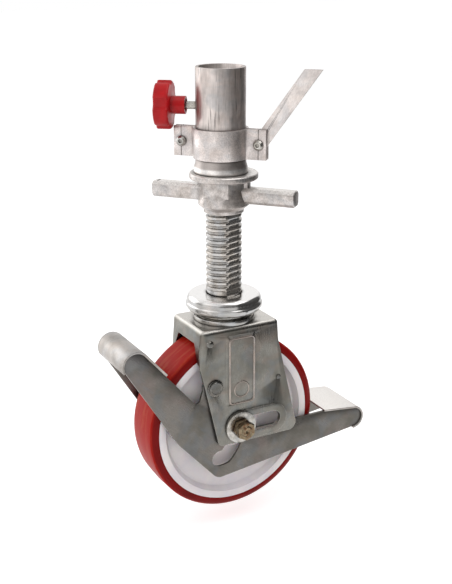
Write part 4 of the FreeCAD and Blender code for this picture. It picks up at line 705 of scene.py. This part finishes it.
@dataclass
class Assembly:
    """Part of the castor: which finish each of its solids gets, and how its edges look."""

    body: str
    finishes: dict[str, Finish]
    edge_mm: float = 0.35
    edge_steps: int = 2
    bend_deg: float = 36.0
    weld_mm: float = 0.002

    def dress(self, frame: dict[str, Any], shelf: dict[str, bpy.types.Material]) -> None:
        """Give each solid its material and its soft edges.

        Args:
            shelf: Materials made so far, by name; missing ones are made and kept.
        """
        for node, finish in self.finishes.items():
            solid = frame["nodes"][node]
            solid.data.materials.clear()
            solid.data.materials.append(self.material(finish, shelf))
            self.soften(solid)
            LOG.info("%s: %s", node, finish.name)

    @staticmethod
    def material(finish: Finish, shelf: dict[str, bpy.types.Material]) -> bpy.types.Material:
        """Take a finish's material from the shelf, or make it.

        Args:
            finish: The finish.
            shelf: Materials made so far, by name.

        Returns:
            The material.
        """
        if finish.name not in shelf:
            shelf[finish.name] = finish.build()
        return shelf[finish.name]

    def soften(self, solid: bpy.types.Object) -> None:
        """Join a solid's loose triangles in the modifier stack and round its sharp edges.

        Args:
            solid: CAD node; its own mesh stays as it is.
        """
        solid.data.polygons.foreach_set("use_smooth", [True] * len(solid.data.polygons))
        weld = solid.modifiers.new("weld", "WELD")
        weld.merge_threshold = self.weld_mm * MM
        rim = solid.modifiers.new("rim", "BEVEL")
        rim.width = self.edge_mm * MM
        rim.segments = self.edge_steps
        rim.limit_method = "ANGLE"
        rim.angle_limit = math.radians(self.bend_deg)
        split = solid.modifiers.new("split", "EDGE_SPLIT")
        split.split_angle = math.radians(self.bend_deg)

    def build(self, shelf: dict[str, bpy.types.Material]) -> None:
        """Make the pieces that the solids lack; most assemblies have none."""


@dataclass
class LockAssembly(Assembly):
    """The lock knob, with the fine thread of its screw."""

    bearing_deg: float = 143.0
    screw_r_mm: float = 4.0
    pitch_mm: float = 1.5
    deep_mm: float = 0.7
    from_mm: float = 26.5
    to_mm: float = 37.0
    core_mm: float = 1.5
    rows: int = 57
    columns: int = 40

    def build(self, shelf: dict[str, bpy.types.Material]) -> None:
        """Make the screw's thread between tube and knob as a closed sleeve.

        A point lies at distance s along the screw and angle a round it. Outside, its radius is
        the screw's, less the depth times the part of a turn by which s / pitch - a / (2 pi) is
        off a crest. The sleeve closes along a plain inner wall.

        Args:
            shelf: Materials made so far, by name.
        """
        turns = np.linspace(0.0, FULL_TURN, self.columns, endpoint=False)
        steps = np.linspace(self.from_mm, self.to_mm, self.rows)
        phase = (steps[:, None] / self.pitch_mm - turns[None, :] / FULL_TURN) % 1.0
        outer = self.screw_r_mm - self.deep_mm * np.abs(2 * phase - 1)
        inner = np.full_like(outer, self.screw_r_mm - self.core_mm)
        radii = np.concatenate([outer, inner[::-1]]) * MM
        reach = np.concatenate([steps, steps[::-1]])[:, None] * MM
        bearing = math.radians(self.bearing_deg)
        out = np.array([math.cos(bearing), math.sin(bearing), 0.0])
        side = np.array([-math.sin(bearing), math.cos(bearing), 0.0])
        up = np.array([0.0, 0.0, 1.0])
        points = (reach[..., None] * out + (radii * np.cos(turns))[..., None] * side
                  + (radii * np.sin(turns))[..., None] * up)
        points[..., 2] += middle_of("lock_screw")[2]
        thread = closed_grid("lock_screw_thread", points)
        thread.data.materials.append(self.material(FASTENER_ZINC, shelf))
        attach(thread, self.body)
        LOG.info("lock_screw_thread: %d faces", len(thread.data.polygons))


@dataclass
class SpindleAssembly(Assembly):
    """The jack spindle, whose rolled thread still marks the flat along it."""

    crest_r_mm: float = 18.8
    root_r_mm: float = 16.4
    pitch_mm: float = 6.35
    crest_wide: float = 0.36
    flank_wide: float = 0.36
    flat_mm: float = 16.1
    flat_bearing_deg: float = -80.0
    flat_reach: float = 0.5
    mark_mm: float = 0.4
    hidden_mm: float = 32.0
    neck_r_mm: float = 18.2
    neck_mm: float = 3.0
    chamfer_mm: float = 2.0
    pin_r_mm: float = 10.0
    head_r_mm: float = 14.0
    head_high_mm: float = 4.6
    head_taper_mm: float = 3.0
    under_cap_mm: float = 0.01
    above_thread_mm: float = 0.3
    rows_per_turn: int = 14
    columns: int = 160

    def outline(self, foot: float, top: float, cap: float,
                thread: Span) -> tuple[np.ndarray, np.ndarray]:
        """Give the spindle's heights and its radii before the thread and the flat are cut.

        Args:
            foot: Height of the riveted head's foot; all heights are in millimetres.
            top: Height of the upper end.
            cap: Height of the swivel cap's top.
            thread: Heights between which the thread runs.

        Returns:
            The heights from the foot up, and the radius at each.
        """
        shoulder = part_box("upper_race")[0][2] / MM
        count = int((thread[1] - thread[0]) / self.pitch_mm * self.rows_per_turn)
        head = foot + self.head_high_mm
        rows = np.concatenate([
            [foot, head, head, shoulder, shoulder, cap - self.under_cap_mm, cap],
            np.linspace(*thread, count),
            [thread[1] + self.above_thread_mm, top - self.chamfer_mm, top]])
        radii = np.concatenate([
            [self.head_r_mm - self.head_taper_mm, self.head_r_mm, self.pin_r_mm, self.pin_r_mm,
             self.neck_r_mm, self.neck_r_mm, self.neck_r_mm],
            np.full(count, self.crest_r_mm),
            [self.crest_r_mm, self.crest_r_mm, self.crest_r_mm - self.chamfer_mm]])
        return rows, radii

    def build(self, shelf: dict[str, bpy.types.Material]) -> None:
        """Make the whole spindle as one surface, and let it stand for the plainer solid.

        A row is a height and a column an angle. Up the axis the radius follows the kingpin's
        head, the kingpin, the neck, the thread and the plain upper end. In the thread it rises
        smoothly from root to crest and back once a pitch, a column's angle later by its part of
        a turn. Above the cap it is cut to flat / cos(angle from the flat's bearing), less a
        mark where the thread's valleys cross the flat. The axis is taken from the solid's box:
        a crest's radius inside its low side in X, and midway in Y.

        Args:
            shelf: Materials made so far, by name.
        """
        low, high = (np.array(corner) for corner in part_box("spindle"))
        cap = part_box("swivel_cap")[1][2] / MM
        thread = (cap + self.neck_mm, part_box("wing_nut")[0][2] / MM + self.hidden_mm)
        heights, plain = self.outline(low[2] / MM, high[2] / MM, cap, thread)
        rows = heights[:, None]
        turns = np.linspace(0.0, FULL_TURN, self.columns, endpoint=False)
        phase = (rows / self.pitch_mm - turns[None, :] / FULL_TURN) % 1.0
        off_crest = np.clip((np.abs(2 * phase - 1) - self.crest_wide) / self.flank_wide, 0.0, 1.0)
        valley = off_crest * off_crest * (3 - 2 * off_crest)
        runs_in = np.clip(np.minimum(rows - thread[0], thread[1] - rows) / self.pitch_mm, 0.0, 1.0)
        radii = plain[:, None] - (self.crest_r_mm - self.root_r_mm) * valley * runs_in
        lean = np.cos(turns - math.radians(self.flat_bearing_deg))[None, :]
        flat = np.where(lean > self.flat_reach,
                        self.flat_mm / np.maximum(lean, self.flat_reach), np.inf)
        marked = flat - self.mark_mm * valley * runs_in
        radii = np.where(rows >= cap, np.minimum(radii, marked), radii) * MM
        middle = (low + high) / 2
        centre = (low[0] + self.crest_r_mm * MM, middle[1])
        points = np.stack([centre[0] + radii * np.cos(turns), centre[1] + radii * np.sin(turns),
                           np.repeat(rows * MM, self.columns, axis=1)], axis=-1)
        piece = capped_grid("rolled_spindle", points)
        piece.data.materials.append(self.material(THREAD_ZINC, shelf))
        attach(piece, self.body)
        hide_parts("spindle")
        LOG.info("rolled_spindle: %d faces", len(piece.data.polygons))


@dataclass
class ForkAssembly(Assembly):
    """The fork, with a pressed bead round each raised panel and a plain ring on it.

    The places of ring and panel are taken from the axle's middle.
    """

    ring_x_mm: float = 0.86
    ring_z_mm: float = 43.87
    ring_r_mm: float = 8.6
    bead_mm: float = 0.9
    bead_high_mm: float = 0.55
    panel_x_mm: float = 1.3
    panel_z_mm: float = 65.4
    panel_half_mm: Span = (14.6, 36.9)
    panel_round_mm: float = 4.0
    panel_bead_mm: float = 1.3
    panel_bead_high_mm: float = 0.9
    loop_rows: int = 64
    bead_columns: int = 12

    def build(self, shelf: dict[str, bpy.types.Material]) -> None:
        """Make a ring on each panel and a bead round it: a half-round carried round a loop.

        The ring's loop is a circle. The panel's loop is a rectangle with round corners: each
        angle starts from the corner's centre that its sine and cosine point to.

        Args:
            shelf: Materials made so far, by name.
        """
        middle = middle_of("axle_sleeve")
        fork_low, fork_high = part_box("fork")
        turns = np.linspace(0.0, FULL_TURN, self.loop_rows, endpoint=False)[:, None]
        section = np.linspace(0.0, FULL_TURN, self.bead_columns, endpoint=False)[None, :]
        reach = (self.ring_r_mm + self.bead_mm * np.cos(section)) * MM
        proud = self.bead_high_mm * np.sin(section) * MM
        around = turns + math.pi / self.loop_rows
        half_wide, half_high = (half - self.panel_round_mm for half in self.panel_half_mm)
        out = self.panel_round_mm + self.panel_bead_mm * np.cos(section)
        across = self.panel_x_mm + np.sign(np.cos(around)) * half_wide + out * np.cos(around)
        above = self.panel_z_mm + np.sign(np.sin(around)) * half_high + out * np.sin(around)
        for side in Side:
            name, sign = side.name.lower(), side.value
            face = fork_low[1] if side is Side.NEAR else fork_high[1]
            x = middle[0] + self.ring_x_mm * MM + reach * np.cos(turns)
            y = face + sign * proud + 0 * turns
            z = middle[2] + self.ring_z_mm * MM + sign * reach * np.sin(turns)
            ring = closed_grid(f"panel_ring_{name}", np.stack([x, y, z], axis=-1))
            # Ring and bead take the rib zinc, painted brighter than the sheet as a highlight.
            ring.data.materials.append(self.material(RIB_ZINC_PAINTED_HIGHLIGHT, shelf))
            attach(ring, self.body)
            LOG.info("panel_ring_%s: %d faces", name, len(ring.data.polygons))
            raised = face + sign * self.panel_bead_high_mm * np.sin(section) * MM + 0 * turns
            bead = closed_grid(f"panel_bead_{name}", np.stack([
                middle[0] + across * MM, raised, middle[2] + above * MM], axis=-1))
            bead.data.materials.append(self.material(RIB_ZINC_PAINTED_HIGHLIGHT, shelf))
            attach(bead, self.body)
            LOG.info("panel_bead_%s: %d faces", name, len(bead.data.polygons))


@dataclass(frozen=True)
class Lamp:
    """A square soft box that looks at a point; places are in metres."""

    name: str
    place: Point
    aim: Point
    size: float
    watts: float

    def hang(self) -> None:
        """Put the lamp in the scene."""
        data = bpy.data.lights.new(self.name, "AREA")
        data.size = self.size
        data.energy = self.watts
        lamp = bpy.data.objects.new(self.name, data)
        lamp.location = self.place
        look = Vector(self.aim) - Vector(self.place)
        lamp.rotation_euler = look.to_track_quat("-Z", "Y").to_euler()
        bpy.context.scene.collection.objects.link(lamp)


# A large key lamp at the left, a soft box overhead, and one low behind at the left.
LAMPS = (
    Lamp("key", (-1.45, -0.55, 0.45), (0.0, 0.0, -0.22), 1.8, 9.0),
    Lamp("overhead", (0.45, -0.45, 1.05), (0.0, 0.0, -0.25), 1.2, 6.0),
    Lamp("back", (-0.95, 1.35, 0.2), (0.0, 0.0, -0.25), 1.4, 9.0),
)


@dataclass
class Studio:
    """Pale floor, soft lamps, pale sky, a dark card at the right, and the photograph's camera.

    The castor is held by its leg, and the floor lies a gap under the wheel's lowest place,
    which is the jack's way down below the one at rest.
    """

    wheel_foot_mm: float = 477.0
    way_down_mm: float = 25.4
    gap_mm: float = 1.0
    floor_reach: float = 9.0
    floor_shine: float = 0.5
    floor: StageFinish = StageFinish("pale_floor", "#f2f2f2")
    sky_diffuse: float = 0.58
    sky_levels: Span = (0.35, 1.0)
    sky_span: Span = (-0.4, 0.75)
    bright_way: Point = (0.15, 0.75, 0.64)
    card: StageFinish = StageFinish("dark_card", "#565656")
    card_out: float = 0.62
    card_wide: float = 1.5
    card_high: float = 1.0
    camera_mm: Point = (-490.16, -922.38, 116.26)
    yaw_deg: float = 28.265
    pitch_deg: float = 18.627
    roll_deg: float = -0.083
    lens_mm: float = 64.036
    sensor_mm: float = 36.0
    sight: float = 30.0

    @property
    def floor_z(self) -> float:
        """Give the floor's height, in metres."""
        return -(self.wheel_foot_mm + self.way_down_mm + self.gap_mm) * MM

    def build(self) -> None:
        """Set the colour view, and make floor, card, sky, lamps and camera."""
        bpy.context.scene.view_settings.view_transform = "Standard"
        self.lay_floor()
        self.stand_card()
        self.light_sky()
        for lamp in LAMPS:
            lamp.hang()
        self.set_camera()

    @staticmethod
    def plate(finish: StageFinish, outline: list[Point]) -> bpy.types.Object:
        """Make a flat stage piece.

        Args:
            finish: Its finish, which gives its name too.
            outline: Its four corners in order, in metres.

        Returns:
            The object.
        """
        piece = new_piece(finish.name, outline, [(0, 1, 2, 3)])
        piece.data.materials.append(finish.build())
        return piece

    @staticmethod
    def background_rays(tree: Tree) -> Socket:
        """Mark the rays that see the background: the camera's, and those off or through gloss.

        Args:
            tree: Node tree that gets the nodes.

        Returns:
            1 for such a ray and 0 for any other.
        """
        ray = add(tree, "ShaderNodeLightPath").outputs
        seen = add(tree, "ShaderNodeMath", {0: ray["Is Camera Ray"], 1: ray["Is Glossy Ray"]},
                   operation="ADD").outputs[0]
        return add(tree, "ShaderNodeMath", {0: seen, 1: ray["Is Transmission Ray"]},
                   operation="ADD", use_clamp=True).outputs[0]

    def lay_floor(self) -> None:
        """Lay a wide pale floor that shows white where it is lit and keeps the shadow."""
        reach, level = self.floor_reach, self.floor_z
        floor = self.plate(self.floor, [(-reach, -reach, level), (reach, -reach, level),
                                        (reach, reach, level), (-reach, reach, level)])
        tree = floor.data.materials[0].node_tree
        shader = tree.nodes["Principled BSDF"]
        shader.inputs["Emission Color"].default_value = WHITE
        shine = add(tree, "ShaderNodeMath", {0: self.background_rays(tree), 1: self.floor_shine},
                    operation="MULTIPLY").outputs[0]
        tree.links.new(shine, shader.inputs["Emission Strength"])

    def stand_card(self) -> None:
        """Stand a dark card at the right, out of the lens's sight, so that metal darkens there."""
        yaw = math.radians(self.yaw_deg)
        right = np.array([math.cos(yaw), -math.sin(yaw), 0.0])
        away = np.array([math.sin(yaw), math.cos(yaw), 0.0])
        foot = right * self.card_out + np.array([0.0, 0.0, self.floor_z])
        top = np.array([0.0, 0.0, self.card_high])
        half = away * self.card_wide / 2
        outline = [tuple(float(v) for v in corner)
                   for corner in (foot - half, foot + half, foot + half + top, foot - half + top)]
        card = self.plate(self.card, outline)
        card.visible_camera = False
        card.visible_shadow = False
        card.visible_diffuse = False

    def light_sky(self) -> None:
        """Surround the castor with a pale sky: white to the lens, and to metal bright behind."""
        world = bpy.data.worlds.new("sky")
        bpy.context.scene.world = world
        world.use_nodes = True
        tree = world.node_tree
        tree.nodes.clear()
        way = add(tree, "ShaderNodeTexCoord").outputs["Generated"]
        lean = add(tree, "ShaderNodeVectorMath", {0: way, 1: self.bright_way},
                   operation="DOT_PRODUCT").outputs["Value"]
        level = add(tree, "ShaderNodeMapRange", {
            "Value": lean, "From Min": self.sky_span[0], "From Max": self.sky_span[1],
            "To Min": self.sky_levels[0], "To Max": self.sky_levels[1]},
            interpolation_type="SMOOTHSTEP").outputs["Result"]
        lens = add(tree, "ShaderNodeLightPath").outputs["Is Camera Ray"]
        shown = add(tree, "ShaderNodeMix", {"Factor": lens, "A": level, "B": 1.0},
                    data_type="FLOAT").outputs["Result"]
        strength = add(tree, "ShaderNodeMix", {
            "Factor": self.background_rays(tree), "A": self.sky_diffuse, "B": shown},
            data_type="FLOAT").outputs["Result"]
        glow = add(tree, "ShaderNodeBackground", {"Color": WHITE, "Strength": strength})
        add(tree, "ShaderNodeOutputWorld", {"Surface": glow.outputs[0]})

    def set_camera(self) -> None:
        """Stand the camera where the photograph was taken from."""
        data = bpy.data.cameras.new("photograph")
        data.sensor_fit = "VERTICAL"
        data.sensor_height = self.sensor_mm
        data.lens = self.lens_mm
        data.clip_end = self.sight
        camera = bpy.data.objects.new("photograph", data)
        camera.location = Vector(self.camera_mm) * MM
        pitch, yaw = math.radians(90 - self.pitch_deg), math.radians(-self.yaw_deg)
        turn = Euler((pitch, 0.0, yaw), "XYZ").to_matrix()
        roll = Euler((0.0, 0.0, math.radians(self.roll_deg))).to_matrix()
        camera.rotation_euler = (turn @ roll).to_euler()
        bpy.context.scene.collection.objects.link(camera)
        bpy.context.scene.camera = camera


def alike(finish: Finish, *nodes: str) -> dict[str, Finish]:
    """Give several solids one finish."""
    return dict.fromkeys(nodes, finish)


def assemblies(axle: Point) -> list[Assembly]:
    """List the castor's assemblies with the finish of each solid.

    Args:
        axle: Centre of the axle, in metres.

    Returns:
        The assemblies, from the leg down to the wheel.
    """
    return [
        Assembly("leg", {
            "leg_tube": TUBE_ALUMINIUM, "tube_lip": DULL_ZINC, "brace_bar": BAR_ALUMINIUM,
            **alike(CLAMP_ALUMINIUM, "collar_front", "collar_rear"),
            **alike(FASTENER_ZINC, "collar_bolt_left", "collar_bolt_right",
                    "collar_nut_left", "collar_nut_right")}),
        LockAssembly("lock", {"lock_knob": RED_NYLON, "lock_screw": FASTENER_ZINC}),
        Assembly("wing_nut", {"wing_nut": CAST_ZINC}, edge_mm=0.9),
        SpindleAssembly("spindle", {
            "spindle": THREAD_ZINC, "swivel_cap": BRIGHT_ZINC,
            **alike(FASTENER_ZINC, "upper_race", "kingpin_washer")}),
        ForkAssembly("fork", {
            "lower_race": BRIGHT_ZINC, "thrust_ring": FASTENER_ZINC,
            **alike(SHEET_ZINC, "fork", "brake_shoe"),
            **alike(PIN_ZINC, "shoe_pin", "pivot_rivet_near", "pivot_rivet_far",
                    "stop_pin_near", "stop_pin_far")}, edge_mm=0.5),
        Assembly("lever", {
            **alike(LEVER_ZINC, "lever_plate_near", "lever_plate_far"),
            "front_pedal": PEDAL_ZINC_PAINTED_LIGHTER, "rear_pedal": TREADLE_ZINC_PAINTED_LIGHTER}, edge_mm=0.5),
        Assembly("axle", {
            **alike(YELLOW_ZINC, "axle_bolt", "axle_nut_inner", "axle_nut_outer"),
            **alike(FASTENER_ZINC, "axle_sleeve", "hub_washer_near", "hub_washer_far",
                    "slot_bush_near", "slot_bush_far", "side_washer_near",
                    "side_washer_far")}, edge_mm=0.3),
        Assembly("wheel", {
            "tyre": TreadFinish("cast_polyurethane", axle), "wheel_core": WHITE_NYLON,
            **alike(FASTENER_ZINC, "wheel_bearing_near", "wheel_bearing_far")}),
    ]


def main() -> None:
    """Load the solids, dress them, and add pieces and studio."""
    logging.basicConfig(level=logging.INFO, format="%(message)s")
    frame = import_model()
    axle = tuple(float(v) for v in middle_of("axle_sleeve"))
    shelf: dict[str, bpy.types.Material] = {}
    for assembly in assemblies(axle):
        assembly.dress(frame, shelf)
        assembly.build(shelf)
    Studio().build()


if __name__ == "__main__":
    main()
